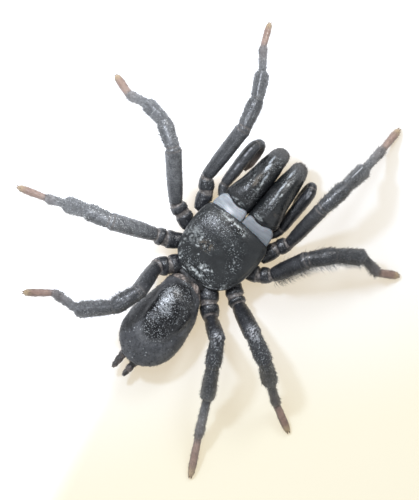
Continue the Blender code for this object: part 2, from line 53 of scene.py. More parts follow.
# Carapace: fore place, half width, height of the ridge and of the rim's upper edge
CARAPACE_STATIONS = (
    (2.08, 2.16, 2.46, 2.10), (2.03, 2.26, 2.66, 2.06), (1.86, 2.37, 2.82, 2.04),
    (1.50, 2.46, 2.98, 2.00), (0.90, 2.52, 3.06, 1.96), (0.25, 2.52, 3.00, 1.94),
    (-0.35, 2.45, 2.84, 1.92), (-0.90, 2.35, 2.64, 1.90), (-1.35, 2.20, 2.44, 1.88),
    (-1.75, 1.98, 2.26, 1.86), (-2.10, 1.62, 2.10, 1.84), (-2.38, 1.12, 1.96, 1.82),
    (-2.48, 0.80, 1.88, 1.80),
)
CARAPACE_FLOOR = 1.70
# Runs of rows along each part: where a run begins and ends, and how many rows it has
CARAPACE_ROWS = ((2.08, 1.8, 40), (1.8, -1.9, 110), (-1.9, -2.48, 62))
ABDOMEN_ROWS = ((-2.60, -2.80, 30), (-2.80, -8.6, 240), (-8.6, -8.98, 38))
CHELICERA_ROWS = ((2.62, 3.1, 30), (3.1, 6.9, 140), (6.9, 7.33, 60))
# The shield's front edge: how far it bows ahead in the middle and back at the sides, and its half width
FRONT_BOW_AHEAD = 0.03
FRONT_BOW_BACK = 0.19
FRONT_HALF_WIDTH = 2.16
HEAD_HALF_WIDTH = 1.55
HEAD_GROOVE = 0.022
FOVEA_FORE = -1.40
FOVEA_HALF_WIDTH = 0.45
FOVEA_DEPTH = 0.11

MOUND_FORE = 1.58
MOUND_UP = 2.86
MOUND_HALF = (0.64, 0.34, 0.34)
MOUND_SINK = 0.07
EYE_SINK_SHARE = 0.15
EYES = ((0.13, 0.06, 0.105), (0.42, 0.14, 0.115), (0.50, -0.07, 0.095), (0.31, -0.13, 0.08))

# Breastplate, with the lower lip at its front: fore place, half width, underside
STERNUM_STATIONS = (
    (2.35, 0.22, 0.86), (2.05, 0.34, 0.74), (1.75, 0.42, 0.66), (1.40, 0.74, 0.58), (0.70, 0.96, 0.50),
    (-0.20, 0.98, 0.48), (-1.00, 0.80, 0.52), (-1.55, 0.45, 0.62),
)
STERNUM_TOP = 1.38
STERNUM_PITS = ((0.55, 0.75), (0.62, 0.0), (0.50, -0.75))
LIP_FORE = 1.78

PEDICEL_UP = 1.22
PEDICEL_HALF = (0.52, 0.31)
PEDICEL_FOLDS = 4.5

# Abdomen, with the soft collar at its front: fore place, left place, half width, top, underside
ABDOMEN_STATIONS = (
    (-2.60, 0.05, 0.06, 1.46, 1.40), (-2.64, 0.05, 0.42, 1.72, 1.14), (-2.74, 0.08, 0.72, 1.86, 1.02),
    (-2.94, 0.12, 0.96, 2.00, 0.90), (-3.20, 0.12, 1.18, 2.16, 0.82), (-3.50, 0.06, 1.32, 2.52, 0.70),
    (-3.90, -0.04, 1.44, 2.80, 0.54), (-4.40, -0.10, 1.60, 2.94, 0.38), (-5.20, -0.12, 1.78, 2.96, 0.28),
    (-6.00, -0.12, 1.92, 2.90, 0.25), (-6.80, -0.12, 1.95, 2.80, 0.30), (-7.50, -0.12, 1.84, 2.64, 0.48),
    (-8.05, -0.12, 1.58, 2.44, 0.78), (-8.50, -0.12, 1.16, 2.20, 1.14), (-8.80, -0.12, 0.72, 2.00, 1.34),
    (-8.94, -0.12, 0.36, 1.84, 1.48), (-8.98, -0.12, 0.06, 1.68, 1.62),
)
SCUTUM_FORE = (-3.08, -7.05)
COLLAR_FORE = (-3.02, -3.55)
SCUTUM_HALF_WIDTH = 1.20
SCUTUM_RISE = 0.06
# Lung covers on the underside, and the slit between the two pairs
LUNG_FORES = (-4.05, -4.95)
LUNG_LEFT = 0.62
SLIT_FORE = -4.35
SLIT_HALF_WIDTH = 0.95

SPINNERET_PATH = ((0.45, -8.30, 0.80), (0.44, -9.10, 0.86), (0.41, -9.98, 0.92))
SPINNERET_PROFILE = (
    (0.0, 0.22), (0.30, 0.25), (0.46, 0.235), (0.50, 0.20), (0.54, 0.22), (0.72, 0.20),
    (0.76, 0.165), (0.80, 0.185), (0.92, 0.14), (1.0, 0.06),
)

SHORT_SPINNERET_PATH = ((0.22, -7.9, 0.78), (0.22, -8.35, 0.66), (0.22, -8.72, 0.66))
SHORT_SPINNERET_PROFILE = ((0, 0.14), (0.6, 0.15), (0.85, 0.11), (1, 0.03))

# Jaws: fore place, inner and outer edge, top, underside
CHELICERA_STATIONS = (
    (2.62, 0.03, 1.70, 2.36, 1.40), (2.88, 0.00, 1.88, 2.50, 1.30), (3.10, -0.01, 1.98, 2.72, 1.22),
    (3.60, -0.02, 1.93, 2.92, 1.16), (4.30, -0.02, 1.76, 2.98, 1.14), (5.10, -0.01, 1.64, 2.86, 1.14),
    (5.90, 0.05, 1.54, 2.60, 1.12), (6.50, 0.14, 1.42, 2.28, 1.08), (6.95, 0.23, 1.26, 1.94, 1.06),
    (7.20, 0.38, 1.08, 1.70, 1.10), (7.30, 0.55, 0.90, 1.52, 1.22), (7.33, 0.70, 0.76, 1.42, 1.32),
)
JAW_BASE, JAW_LENGTH = 2.62, 4.7
JAW_KEELS = (0.62, 1.05)
JAW_CREST = 0.80
FANG_PATH = ((0.76, 6.95, 0.78), (0.66, 6.35, 0.52), (0.54, 5.45, 0.50), (0.40, 4.55, 0.60))
FANG_PROFILE = ((0.0, 0.30), (0.3, 0.24), (0.6, 0.17), (0.85, 0.09), (1.0, 0.03))

# Soft fold between the carapace and the jaws: left place, front edge, height at the rear and front edge
FOLD_STATIONS = (
    (0.00, 2.45, 2.30, 2.30), (0.05, 2.66, 2.37, 2.46), (0.14, 2.79, 2.40, 2.58),
    (0.34, 2.84, 2.42, 2.64), (0.70, 2.76, 2.42, 2.66), (1.15, 2.78, 2.40, 2.66),
    (1.50, 2.92, 2.36, 2.62), (1.72, 2.96, 2.32, 2.54), (1.95, 2.84, 2.26, 2.42),
    (2.10, 2.56, 2.20, 2.30), (2.18, 2.20, 2.12, 2.14),
)
FOLD_REAR = 1.84
FOLD_FLOOR = 1.50

FOOT_UP = 0.09
# Joints of each leg, (left, fore, up), from the breastplate out to the tip of the foot
LEG_JOINTS = {
    "left_1": (
        (1.05, 1.40, 1.00), (2.60, 1.35, 1.05), (2.92, 2.20, 1.18), (3.50, 2.92, 1.36), (3.62, 6.74, 3.40),
        (4.14, 8.62, 3.42), (4.92, 10.08, 2.10), (5.94, 11.40, 0.82), (6.58, 12.82, FOOT_UP),
    ),
    "left_2": (
        (1.28, 0.42, 1.00), (2.55, -0.04, 1.05), (3.24, 0.22, 1.18), (3.92, 0.42, 1.36), (6.20, 2.92, 3.50),
        (7.75, 3.88, 3.25), (9.22, 4.06, 1.98), (10.48, 3.76, 0.72), (11.88, 4.18, FOOT_UP),
    ),
    "left_3": (
        (1.24, -0.50, 1.00), (2.55, -1.45, 1.05), (3.05, -1.72, 1.18), (3.66, -1.90, 1.36),
        (6.35, -3.06, 3.70), (7.90, -3.52, 3.45), (9.10, -3.98, 2.10), (10.30, -4.50, 0.80),
        (12.16, -5.12, FOOT_UP),
    ),
    "left_4": (
        (0.92, -1.42, 1.00), (1.38, -2.34, 1.05), (1.76, -2.86, 1.18), (2.34, -3.42, 1.40),
        (2.17, -5.36, 4.00), (2.76, -7.05, 3.85), (4.34, -8.60, 2.40), (6.18, -8.75, 0.88),
        (7.68, -9.96, FOOT_UP),
    ),
    "right_1": (
        (-1.05, 1.40, 1.00), (-2.45, 1.40, 1.05), (-2.75, 2.28, 1.18), (-3.14, 3.00, 1.36),
        (-3.34, 5.95, 3.90), (-3.60, 7.95, 3.95), (-3.82, 9.55, 2.40), (-3.88, 11.25, 1.00),
        (-3.88, 12.84, FOOT_UP),
    ),
    "right_2": (
        (-1.28, 0.42, 1.00), (-2.40, 0.05, 1.05), (-2.98, 0.28, 1.18), (-3.58, 0.78, 1.36),
        (-4.70, 2.98, 2.65), (-5.85, 4.30, 2.70), (-7.25, 5.28, 1.85), (-8.55, 5.12, 0.86),
        (-9.68, 5.80, FOOT_UP),
    ),
    "right_3": (
        (-1.24, -0.50, 1.00), (-2.28, -1.38, 1.05), (-2.70, -1.74, 1.18), (-3.22, -2.02, 1.36),
        (-5.08, -2.84, 3.90), (-6.73, -3.68, 3.70), (-7.78, -4.45, 2.20), (-8.95, -5.25, 0.82),
        (-10.62, -6.10, FOOT_UP),
    ),
    "right_4": (
        (-0.84, -1.46, 1.00), (-1.16, -2.42, 1.05), (-1.66, -3.10, 1.18), (-2.38, -3.74, 1.36),
        (-3.52, -4.48, 4.20), (-4.38, -5.98, 3.50), (-5.38, -7.72, 2.05), (-6.52, -9.98, 0.86),
        (-7.70, -12.16, FOOT_UP),
    ),
}
# How thick each leg is beside the profiles below: coxa, femur, tibia, foot
LEG_GIRTH = {
    "left_1": (1.00, 0.98, 0.98, 0.88), "left_2": (1.06, 1.05, 1.00, 1.06),
    "left_3": (1.10, 1.09, 1.08, 0.98), "left_4": (1.22, 1.03, 1.10, 1.00),
    "right_1": (1.00, 0.92, 1.02, 0.98), "right_2": (1.04, 1.10, 1.08, 1.06),
    "right_3": (1.10, 1.12, 1.08, 1.00), "right_4": (1.22, 1.03, 1.03, 1.00),
}
LEAN_REACH = 1.6

# Thickness of each leg segment: share of its length, half width
LEG_PROFILES = (
    ((0.0, 0.32), (0.3, 0.38), (0.75, 0.46), (1.0, 0.50)),
    ((0.0, 0.50), (0.5, 0.53), (1.0, 0.46)),
    ((0.0, 0.46), (0.5, 0.51), (1.0, 0.39)),
    ((0.0, 0.38), (0.12, 0.43), (0.3, 0.475), (0.6, 0.50), (0.85, 0.51), (0.95, 0.51), (1.0, 0.47)),
    ((0.0, 0.44), (0.2, 0.46), (0.5, 0.49), (0.86, 0.49), (1.0, 0.42)),
    ((0.0, 0.38), (0.18, 0.42), (0.5, 0.45), (0.8, 0.47), (0.93, 0.45), (1.0, 0.36)),
    ((0.0, 0.25), (0.2, 0.27), (0.6, 0.28), (0.86, 0.305), (1.0, 0.245)),
    ((0.0, 0.225), (0.2, 0.235), (0.5, 0.25), (0.8, 0.235), (0.94, 0.18), (1.0, 0.10)),
)
# Which girth each of those segments takes
GIRTH_OF_SEGMENT = (0, 0, 0, 1, 2, 2, 3, 3)
# The soft ring at the far end of each leg segment: half width, how deep it sinks, how pale it is
RING_AT_END = (
    (0.0, 0.0, 0.0), (0.125, 0.05, 0.80), (0.105, 0.06, 0.85), (0.120, 0.01, 0.80), (0.040, 0.06, 0.15),
    (0.050, 0.12, 0.20), (0.035, 0.08, 0.10),
)
DOUBLE_RING = 3  # the joint whose ring shows as two thin lines
KNEE_RING = {"right_3": 0.2, "right_4": 0.2, "left_4": 0.5, "right_1": 0.8}

# Path and half widths of each palp, from the maxilla to the tip
PALP_PATHS = {
    "left": (
        (0.60, 2.00, 0.96), (1.30, 2.36, 0.98), (1.88, 2.66, 1.00), (2.30, 3.20, 1.12), (2.36, 4.40, 1.42),
        (2.42, 5.60, 1.70), (2.40, 6.22, 1.84), (2.24, 6.60, 1.70), (2.03, 6.42, 1.30), (1.93, 5.74, 0.96),
        (1.93, 5.20, 0.82), (1.93, 4.74, 0.72),
    ),
    "right": (
        (-0.60, 2.00, 0.96), (-1.28, 2.36, 0.98), (-1.82, 2.66, 1.00), (-2.16, 3.28, 1.12),
        (-2.15, 4.40, 1.42), (-2.15, 5.60, 1.70), (-2.13, 6.22, 1.84), (-2.00, 6.60, 1.70),
        (-1.88, 6.42, 1.30), (-1.86, 5.76, 0.94), (-1.92, 5.20, 0.80), (-1.98, 4.66, 0.70),
    ),
}
PALP_HALF_WIDTHS = (0.26, 0.35, 0.35, 0.33, 0.40, 0.41, 0.38, 0.31, 0.29, 0.27, 0.25, 0.10)
# Soft rings on the palp: place along the path, half width, depth
PALP_RINGS = (
    (2.1, 0.09, 0.07), (3.1, 0.08, 0.08), (6.55, 0.06, 0.08), (7.9, 0.05, 0.06), (9.4, 0.05, 0.06),
)
MAXILLA_LOBE = ((0.95, 2.45, 0.80), (0.72, 3.05, 0.74), (0.50, 3.60, 0.72))
MAXILLA_LOBE_PROFILE = ((0.0, 0.20), (0.4, 0.24), (0.8, 0.16), (1.0, 0.05))

CLAW_SPREAD = 0.07
CLAW_REACH = 0.26
CLAW_PROFILE = ((0.0, 0.045), (0.5, 0.034), (1.0, 0.008))


def place(left, fore, up):
    """Points in the frame, in millimetres."""
    left, fore, up = np.broadcast_arrays(left, fore, up)
    return np.stack([left - MIDDLE_LEFT, MIDDLE_FORE - fore, up], axis=-1).astype(float)


def unit(vectors):
    return vectors / np.maximum(np.linalg.norm(vectors, axis=-1, keepdims=True), 1e-12)


def full_turn(columns):
    """Evenly spaced angles once round, from the left side over the top."""
    return math.tau * np.arange(columns) / columns


def ring_round(side, above, turn):
    """Directions round each place, one for each angle."""
    return side[:, None] * np.cos(turn)[None, :, None] + above[:, None] * np.sin(turn)[None, :, None]


def curve(knots, at):
    """Values on a smooth curve through knots, each one a place and its values."""
    table = np.asarray(knots, float)
    places, values = table[:, 0], table[:, 1:]
    if places[0] > places[-1]:
        places, values = places[::-1], values[::-1]
    slopes = np.gradient(values, places, axis=0)
    at = np.asarray(at, float)
    i = np.clip(np.searchsorted(places, at, side="right") - 1, 0, len(places) - 2)
    step = (places[i + 1] - places[i])[..., None]
    t = (np.clip(at, places[0], places[-1]) - places[i])[..., None] / step
    made = (
        values[i] * (1 + 2 * t) * (1 - t) ** 2
        + slopes[i] * step * t * (1 - t) ** 2
        + values[i + 1] * t**2 * (3 - 2 * t)
        + slopes[i + 1] * step * t**2 * (t - 1)
    )
    return made[..., 0] if made.shape[-1] == 1 else made


def smooth_step(value):
    held = np.clip(value, 0.0, 1.0)
    return held * held * (3 - 2 * held)


def rise(value, start, width):
    """A smooth step from 0 to 1 that begins at start."""
    return smooth_step((value - start) / width)


def fall(value, end, width):
    """A smooth step from 1 down to 0 that ends at end."""
    return smooth_step((end - value) / width)


def bell(value, width):
    return np.exp(-((value / width) ** 2))


def rough(points, scale, seed=0.0):
    """Smooth noise between about -1 and 1 at each point, with this many waves to the millimetre."""
    flat = (points.reshape(-1, 3) * scale + seed).tolist()
    return np.array([noise.noise(place) for place in flat]).reshape(points.shape[:-1])


class Skin:
    """A surface as a grid of points in millimetres: rows along it, columns round it."""

    def __init__(self, points, **values):
        self.points = points
        self.values = values
        along = np.gradient(points, axis=0)
        round_it = np.roll(points, -1, axis=1) - np.roll(points, 1, axis=1)
        normal = unit(np.cross(round_it, along))
        middle = points.mean(axis=1, keepdims=True)
        outward = np.sign((normal * (points - middle)).sum(axis=-1).sum())
        self.normal = normal * outward
        self.flow = unit(along)
        self.area = np.linalg.norm(np.cross(round_it, along), axis=-1)

    def push(self, amount):
        """Moves each point out along its normal, in millimetres."""
        return Skin(self.points + self.normal * amount[..., None], **self.values)


def mesh_of(name, points, quads, triangles, values=None):
    """A mesh from arrays, facing outwards, with its points given in millimetres."""
    corners = np.concatenate([quads.reshape(-1), triangles.reshape(-1)]).astype(np.int32)
    counts = np.concatenate([np.full(len(quads), 4), np.full(len(triangles), 3)])
    starts = np.concatenate([[0], np.cumsum(counts)[:-1]]).astype(np.int32)
    mesh = bpy.data.meshes.new(name)
    mesh.vertices.add(len(points))
    mesh.vertices.foreach_set("co", (points * MM).astype(np.float32).ravel())
    mesh.loops.add(len(corners))
    mesh.loops.foreach_set("vertex_index", corners)
    mesh.polygons.add(len(counts))
    mesh.polygons.foreach_set("loop_start", starts)
    mesh.update(calc_edges=True)
    mesh.validate()
    for key, value in (values or {}).items():
        layer = mesh.attributes.new(key, "FLOAT", "POINT")
        layer.data.foreach_set("value", np.asarray(value, np.float32).ravel())
    mesh.shade_smooth()
    return mesh


def grid_faces(rows, columns):
    """The four-sided faces between the rows of a grid that closes on itself all round."""
    index = np.arange(rows * columns).reshape(rows, columns)
    across = np.roll(index, -1, axis=1)
    return np.stack([index[:-1], across[:-1], across[1:], index[1:]], axis=-1).reshape(-1, 4)


def volume_of(points, quads, triangles):
    """Six times the volume inside the faces, below zero where they face inwards."""
    halves = np.concatenate([quads[:, [0, 1, 2]], quads[:, [0, 2, 3]], triangles])
    a, b, c = (points[halves[:, i]] for i in range(3))
    return (a * np.cross(b, c)).sum()


def closed_mesh(name, skin):
    """The skin as a closed mesh, each end drawn in to a point in its middle."""
    rows, columns = skin.points.shape[:2]
    points = skin.points.reshape(-1, 3)
    ends = np.stack([skin.points[0].mean(axis=0), skin.points[-1].mean(axis=0)])
    quads = grid_faces(rows, columns)
    ring = np.arange(columns)
    onward = np.roll(ring, -1)
    first = np.stack([onward, ring, np.full(columns, rows * columns)], axis=-1)
    last_row = (rows - 1) * columns
    last = np.stack([ring + last_row, onward + last_row, np.full(columns, rows * columns + 1)], axis=-1)
    triangles = np.concatenate([first, last])
    points = np.concatenate([points, ends])
    if volume_of(points, quads, triangles) < 0:
        quads, triangles = quads[:, ::-1], triangles[:, ::-1]
    values = {}
    for key, value in skin.values.items():
        value = np.broadcast_to(value, (rows, columns))
        values[key] = np.concatenate([value.ravel(), [value[0].mean(), value[-1].mean()]])
    return mesh_of(name, points, quads, triangles, values)


def put(name, data):
    """A new object in the scene."""
    made = bpy.data.objects.new(name, data)
    bpy.context.scene.collection.objects.link(made)
    return made


def add_piece(name, mesh, material, slot, *replaced):
    """Puts a finished mesh in the scene as a piece that rides on the one body."""
    piece = put(name, mesh)
    mesh.materials.append(material)
    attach(piece, "root")
    if replaced:
        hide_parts(*replaced)


def add_skin(name, skin, material, slot, *replaced):
    """Puts a skin in the scene as a piece of its own."""
    add_piece(name, closed_mesh(name, skin), material, slot, *replaced)


def joined(name, meshes):
    """One mesh from several, which are removed."""
    objects = [put(name, mesh) for mesh in meshes]
    with bpy.context.temp_override(
        active_object=objects[0], selected_editable_objects=objects, selected_objects=objects
    ):
        bpy.ops.object.join()
    mesh = objects[0].data
    bpy.data.objects.remove(objects[0])
    return mesh


def tube(centres, radii, tangents, sides):
    """Rings of points round each centre, square to its tangent: one row of radii for each centre."""
    side = unit(np.cross(tangents, UP))
    ring = ring_round(side, np.cross(side, tangents), full_turn(sides))
    return centres[:, None] + ring * radii[..., None]


def bezier(path, shares):
    """Points on the smooth curve whose control points are the path, in the frame's millimetres."""
    points = [np.repeat(place(*point)[None], len(shares), axis=0) for point in path]
    t = np.asarray(shares)[:, None]
    while len(points) > 1:
        points = [a * (1 - t) + b * t for a, b in zip(points, points[1:])]
    return points[0]


def mirrored(path, side):
    """A path of the left side, or its mirror image on the right."""
    return [(side * left, fore, up) for left, fore, up in path]


def bezier_tube(path, profile, rows, sides):
    """A skin round a smooth path, as thick as the profile says at each share of it."""
    shares = np.linspace(0, 1, rows)
    centres = bezier(path, shares)
    tangents = unit(np.gradient(centres, axis=0))
    return Skin(tube(centres, curve(profile, shares)[:, None], tangents, sides))


# Painted highlight lines along some legs: segment, how far round from the top, half width, where it runs,
# strength
PAINTED_HIGHLIGHT_LINES = {
    "left_1": (
        (3, -0.10, 0.05, 0.30, 0.88, 0.22), (4, 0.05, 0.07, 0.10, 0.90, 0.50),
        (5, 0.12, 0.07, 0.05, 0.95, 0.9),
    ),
    "right_1": ((5, 0.43, 0.06, 0.25, 0.80, 0.9), (4, 0.20, 0.08, 0.2, 0.9, 0.3)),
    "left_4": ((5, -0.20, 0.06, 0.05, 0.95, 0.6), (4, 0.10, 0.08, 0.3, 0.9, 0.3)),
    "left_2": ((5, -0.25, 0.16, 0.1, 0.9, 0.35), (4, 0.0, 0.20, 0.2, 0.8, 0.3)),
}
# How thick the painted glints stand on femur, patella, tibia and metatarsus, and how pale a painted glare
# lies on them
LEG_GLINTS = {
    "left_1": (0.10, 0.55, 0.40, 0.35), "left_2": (0.10, 0.75, 0.65, 0.35),
    "left_3": (0.55, 1.00, 0.90, 0.50), "left_4": (0.35, 0.65, 0.60, 0.35),
    "right_1": (0.12, 0.50, 0.35, 0.40), "right_2": (0.10, 0.35, 0.30, 0.30),
    "right_3": (0.30, 1.00, 0.50, 0.12), "right_4": (0.40, 1.00, 0.40, 0.30),
}
LEG_PAINTED_GLARE = {
    "left_1": (0.26, 0.36, 0.30, 0.70), "left_2": (0.55, 0.55, 0.60, 0.85),
    "left_3": (0.72, 0.66, 0.66, 0.85), "left_4": (0.06, 0.16, 0.30, 0.45),
    "right_1": (0.08, 0.20, 0.24, 0.75), "right_2": (0.02, 0.10, 0.12, 0.30),
    "right_3": (0.02, 0.08, 0.14, 0.30), "right_4": (0.02, 0.05, 0.12, 0.75),
}
# Where those figures hold, and two more: along the leg, in segments
MARK_AT = (2.5, 3.5, 4.5, 5.5, 6.5, 7.5)
HIP_GLINT, TIP_GLINT = 0.35, 0.05
HIP_PAINTED_GLARE, TIP_PAINTED_GLARE_SHARE = 0.04, 0.40
# How bright the painted highlight over the knee of some legs is
KNEE_PAINTED_HIGHLIGHT = {"right_3": 0.90, "right_4": 1.00, "left_3": 0.40}
# How dark the painted shade makes the flanks of the brown feet
FOOT_FLANK_PAINTED_SHADE = {"right_3": 0.55, "right_4": 0.5, "right_2": 0.3, "right_1": 0.25, "left_4": 0.3}
FEMUR, PATELLA = 3, 4
# Stands for the way to the knee on segments that don't meet it
FAR = 9.0
# How quickly the painted highlight lines begin and end
LINE_ENDS = 12
# The skins keep a little inside the solids' outline
LEG_INSET, PALP_INSET = 0.99, 0.985


def leg_marks(name, surface, segment, share, lengths, turn):
    """What colours a leg: painted highlight lines, the brown foot with painted shade on its flanks, its
    tip, painted glints and a painted glare.
    """
    round_it = (turn - math.pi / 2)[None]
    speckled = rise(rough(surface, 6.0, 11.0), -0.25, 0.4)
    flecked = rise(rough(surface * np.array((1.0, 0.6, 1.0)), 11.0, 5.0), 0.02, 0.16)
    # Painted highlight lines along the leg
    lines = np.zeros(surface.shape[:2])
    for number, offset, width, begin, end, strength in PAINTED_HIGHLIGHT_LINES.get(name, ()):
        inside = (segment == number) * smooth_step((share - begin) * LINE_ENDS + 0.5)
        inside = inside * smooth_step((end - share) * LINE_ENDS + 0.5)
        lines = np.maximum(lines, strength * bell(round_it - offset, width) * inside[:, None])
    past_knee = np.where(segment == PATELLA, share * lengths[PATELLA], FAR)
    knee = np.where(segment == FEMUR, (1 - share) * lengths[FEMUR], past_knee)
    # A painted highlight over the knee of some legs, broken into flecks
    painted_highlight = KNEE_PAINTED_HIGHLIGHT.get(name, 0.0)
    gleam = painted_highlight * bell(knee - 0.05, 0.34)[:, None] * bell(round_it - 0.1, 0.60)
    lines = np.maximum(lines * (0.45 + 0.55 * speckled), gleam * flecked)
    along_leg = segment + share
    foot = 0.16 * rise(along_leg, 6.0, 0.9) + rise(along_leg, 6.85, 0.45)
    # Painted shade darkens the brown foot's flanks
    foot = np.minimum(foot, 1)[:, None] * (1 - FOOT_FLANK_PAINTED_SHADE.get(name, 0.1) * np.abs(np.cos(turn))[None] ** 3)
    tip = rise(along_leg, 7.62, 0.3)
    # Painted glints, thicker round a painted knee highlight
    glint = np.interp(along_leg, MARK_AT, (HIP_GLINT, *LEG_GLINTS[name], TIP_GLINT))
    glint = glint + 0.5 * bell(knee, 0.5) * (painted_highlight > 0)
    # Painted glare, a little stronger on the top of the leg
    tip_painted_glare = LEG_PAINTED_GLARE[name][-1] * TIP_PAINTED_GLARE_SHARE
    painted_glare = np.interp(along_leg, MARK_AT, (HIP_PAINTED_GLARE, *LEG_PAINTED_GLARE[name], tip_painted_glare))
    painted_glare = painted_glare[:, None] * (0.75 + 0.25 * np.sin(turn))[None]
    return {"foot": foot, "painted_streak": lines, "tip": tip[:, None], "glint": glint[:, None], "painted_glare": painted_glare}


def leg_skin(name, joints, girths, spacing=0.035, sides=44):
    """One leg's skin, from the coxa to the tip of the foot, with its soft rings and painted highlight
    lines.
    """
    points = place(*np.array(joints).T)
    steps = np.diff(points, axis=0)
    lengths = np.linalg.norm(steps, axis=1)
    directions = steps / lengths[:, None]
    chain = np.concatenate([directions[:1], directions, directions[-1:]])
    turn = full_turn(sides)
    # Rings are wider over the back of the joint
    wider = 1 + 0.30 * np.sin(turn - 0.5)[None]
    centres, tangents, radii, soft, segments, shares = [], [], [], [], [], []
    for number, profile in enumerate(LEG_PROFILES):
        own = directions[number]
        count = max(6, int(lengths[number] / spacing))
        share = np.linspace(0, 1, count + 1)[1 if number else 0:]
        radius = curve(profile, share)[:, None] * girths[GIRTH_OF_SEGMENT[number]] * np.ones((1, sides))
        along = share * lengths[number]
        soft_here = np.zeros((len(share), sides))
        for end, distance, mitre_of in (
            (number, along, unit(chain[number] + own)),
            (number + 1, lengths[number] - along, unit(own + chain[number + 2])),
        ):
            bend = math.acos(min(1.0, float(own @ mitre_of)))
            reach = max(LEAN_REACH * radius.max() * math.tan(bend), 1e-6)
            lean = np.clip(1 - distance / reach, 0, 1)[:, None]
            mine = (along < lengths[number] / 2) == (end == number)
            own_way = own[None] * (1 - lean) + mitre_of[None] * lean
            if end == number:
                tangent = np.where(mine[:, None], own_way, 0.0)
            else:
                tangent = np.where(mine[:, None], own_way, tangent)
            if 1 < end < len(LEG_PROFILES):
                half, depth, pale = RING_AT_END[end - 1]
                across = distance[:, None] / (half * wider)
                ring = fall(across, 1.15, 0.3)
                lines = ring
                if end - 1 == DOUBLE_RING:
                    lines = bell(across - 0.75, 0.26) * KNEE_RING.get(name, 1.0)
                soft_here = np.maximum(soft_here, lines * pale)
                radius = radius * (1 - depth * ring) * (1 + 0.025 * bell(across - 1.7, 0.6))
                radius = radius * (1 + 0.6 * depth * bell(across, 0.45))
        centres.append(points[number] + own[None] * along[:, None])
        tangents.append(unit(tangent))
        radii.append(radius)
        soft.append(soft_here)
        segments.append(np.full(len(share), number))
        shares.append(share)
    centres, tangents = np.concatenate(centres), np.concatenate(tangents)
    radii, soft = np.concatenate(radii), np.concatenate(soft)
    segment, share = np.concatenate(segments), np.concatenate(shares)
    surface = tube(centres, radii * LEG_INSET, tangents, sides)
    skin = Skin(surface, soft=soft, **leg_marks(name, surface, segment, share, lengths, turn))
    wave = rough(skin.points, 2.2, 3.0) * 0.010 + rough(skin.points, 7.0, 9.0) * 0.004
    skin = skin.push(wave)
    skin.points[..., 2] = np.maximum(skin.points[..., 2], 0.0)
    skin.segment, skin.turn = segment, turn
    return skin


def palp_skin(path, brown, streak_at, sides=36):
    """One palp's skin, from the maxilla to the tip, which is folded under."""
    points = place(*np.array(path).T)
    at = np.linspace(0, len(path) - 1, 300)
    knots = np.column_stack([np.arange(len(path)), points])
    centres = curve(knots, at)
    radii = curve(np.column_stack([np.arange(len(path)), PALP_HALF_WIDTHS]), at)
    tangents = unit(np.gradient(centres, axis=0))
    soft = np.zeros(len(at))
    for middle, half, depth in PALP_RINGS:
        ring = smooth_step(1.5 - np.abs(at - middle) / half)
        soft = np.maximum(soft, ring)
        radii = radii * (1 - depth * ring)
    # A smooth turn at the fold, where the side direction would otherwise flip over
    side = unit(np.cross(tangents, UP))
    for i in range(1, len(side)):
        if side[i] @ side[i - 1] < 0:
            side[i] = -side[i]
    above = np.cross(side, tangents)
    turn = full_turn(sides)
    surface = centres[:, None] + ring_round(side, above, turn) * radii[:, None, None] * PALP_INSET
    foot = rise(at, 7.8, 1.5) * brown
    plain = np.zeros((len(at), 1))
    # A painted highlight streak along the palp
    offset, begin, end, strength = streak_at
    inside = smooth_step((at - begin) / 0.5 + 0.5) * smooth_step((end - at) / 0.5 + 0.5)
    streak = strength * bell(turn - math.pi / 2 - offset, 0.12)[None] * inside[:, None]
    streak = streak * rise(rough(surface, 5.0, 4.0), -0.3, 0.4)
    # Painted glare: strong on the brown tip, light over the rest of a palp that has one
    skin = Skin(
        surface, soft=0.7 * soft[:, None], foot=foot[:, None], painted_streak=streak, tip=plain, glint=plain + 0.15,
        painted_glare=0.80 * foot[:, None] + 0.20 * (brown > 0),
    )
    return skin.push(rough(skin.points, 3.0, 5.0) * 0.008)


def carapace_height(left, fore):
    """The height of the carapace's upper surface, with its furrows, pit and rim."""
    half_width, top, rim = np.moveaxis(curve(CARAPACE_STATIONS, fore), -1, 0)
    slope = np.abs(curve(CARAPACE_STATIONS, fore + 0.05)[..., 0] - half_width) / 0.05
    across = np.clip(left / half_width, -1, 1)
    turn = np.arccos(across)
    dome = np.sin(turn) ** 0.8
    edge = (half_width - np.abs(left)) / np.sqrt(1 + slope**2)
    head_edge = HEAD_HALF_WIDTH * smooth_step((fore - FOVEA_FORE) / (2.0 - FOVEA_FORE)) + 0.25
    groove = bell(np.abs(left) - head_edge, 0.22) * fall(fore, 2.1, 0.6)
    groove = groove * rise(fore, FOVEA_FORE, 0.3)
    pit_fore = FOVEA_FORE - 0.10 + 0.10 * (left / FOVEA_HALF_WIDTH) ** 2
    pit = bell(left, FOVEA_HALF_WIDTH) * bell(fore - pit_fore, 0.16)
    rays = np.zeros_like(left)
    for angle in (0.10, 0.62, 1.12):
        way_left, way_fore = math.cos(angle), math.sin(angle)
        out_left, out_fore = np.abs(left), fore - FOVEA_FORE
        run = out_left * way_left + out_fore * way_fore
        off = -out_left * way_fore + out_fore * way_left
        rays += bell(off, 0.13) * rise(run, 0.35, 0.4) * fall(run, 2.1, 0.6)
    tail_fold = bell(fore + 1.98 - 0.12 * left**2, 0.10) * fall(np.abs(left), 1.1, 0.5)
    ridge = bell(fore + 1.82 - 0.10 * left**2, 0.10) * fall(np.abs(left), 1.1, 0.5)
    lip = bell(edge - 0.05, 0.045) - 0.9 * bell(edge - 0.17, 0.06)
    fades = smooth_step(np.sin(turn) * 2)
    relief = -HEAD_GROOVE * groove - FOVEA_DEPTH * pit - 0.022 * rays - 0.018 * tail_fold + 0.05 * ridge
    return rim + (top - rim) * dome + relief * fades + 0.03 * lip
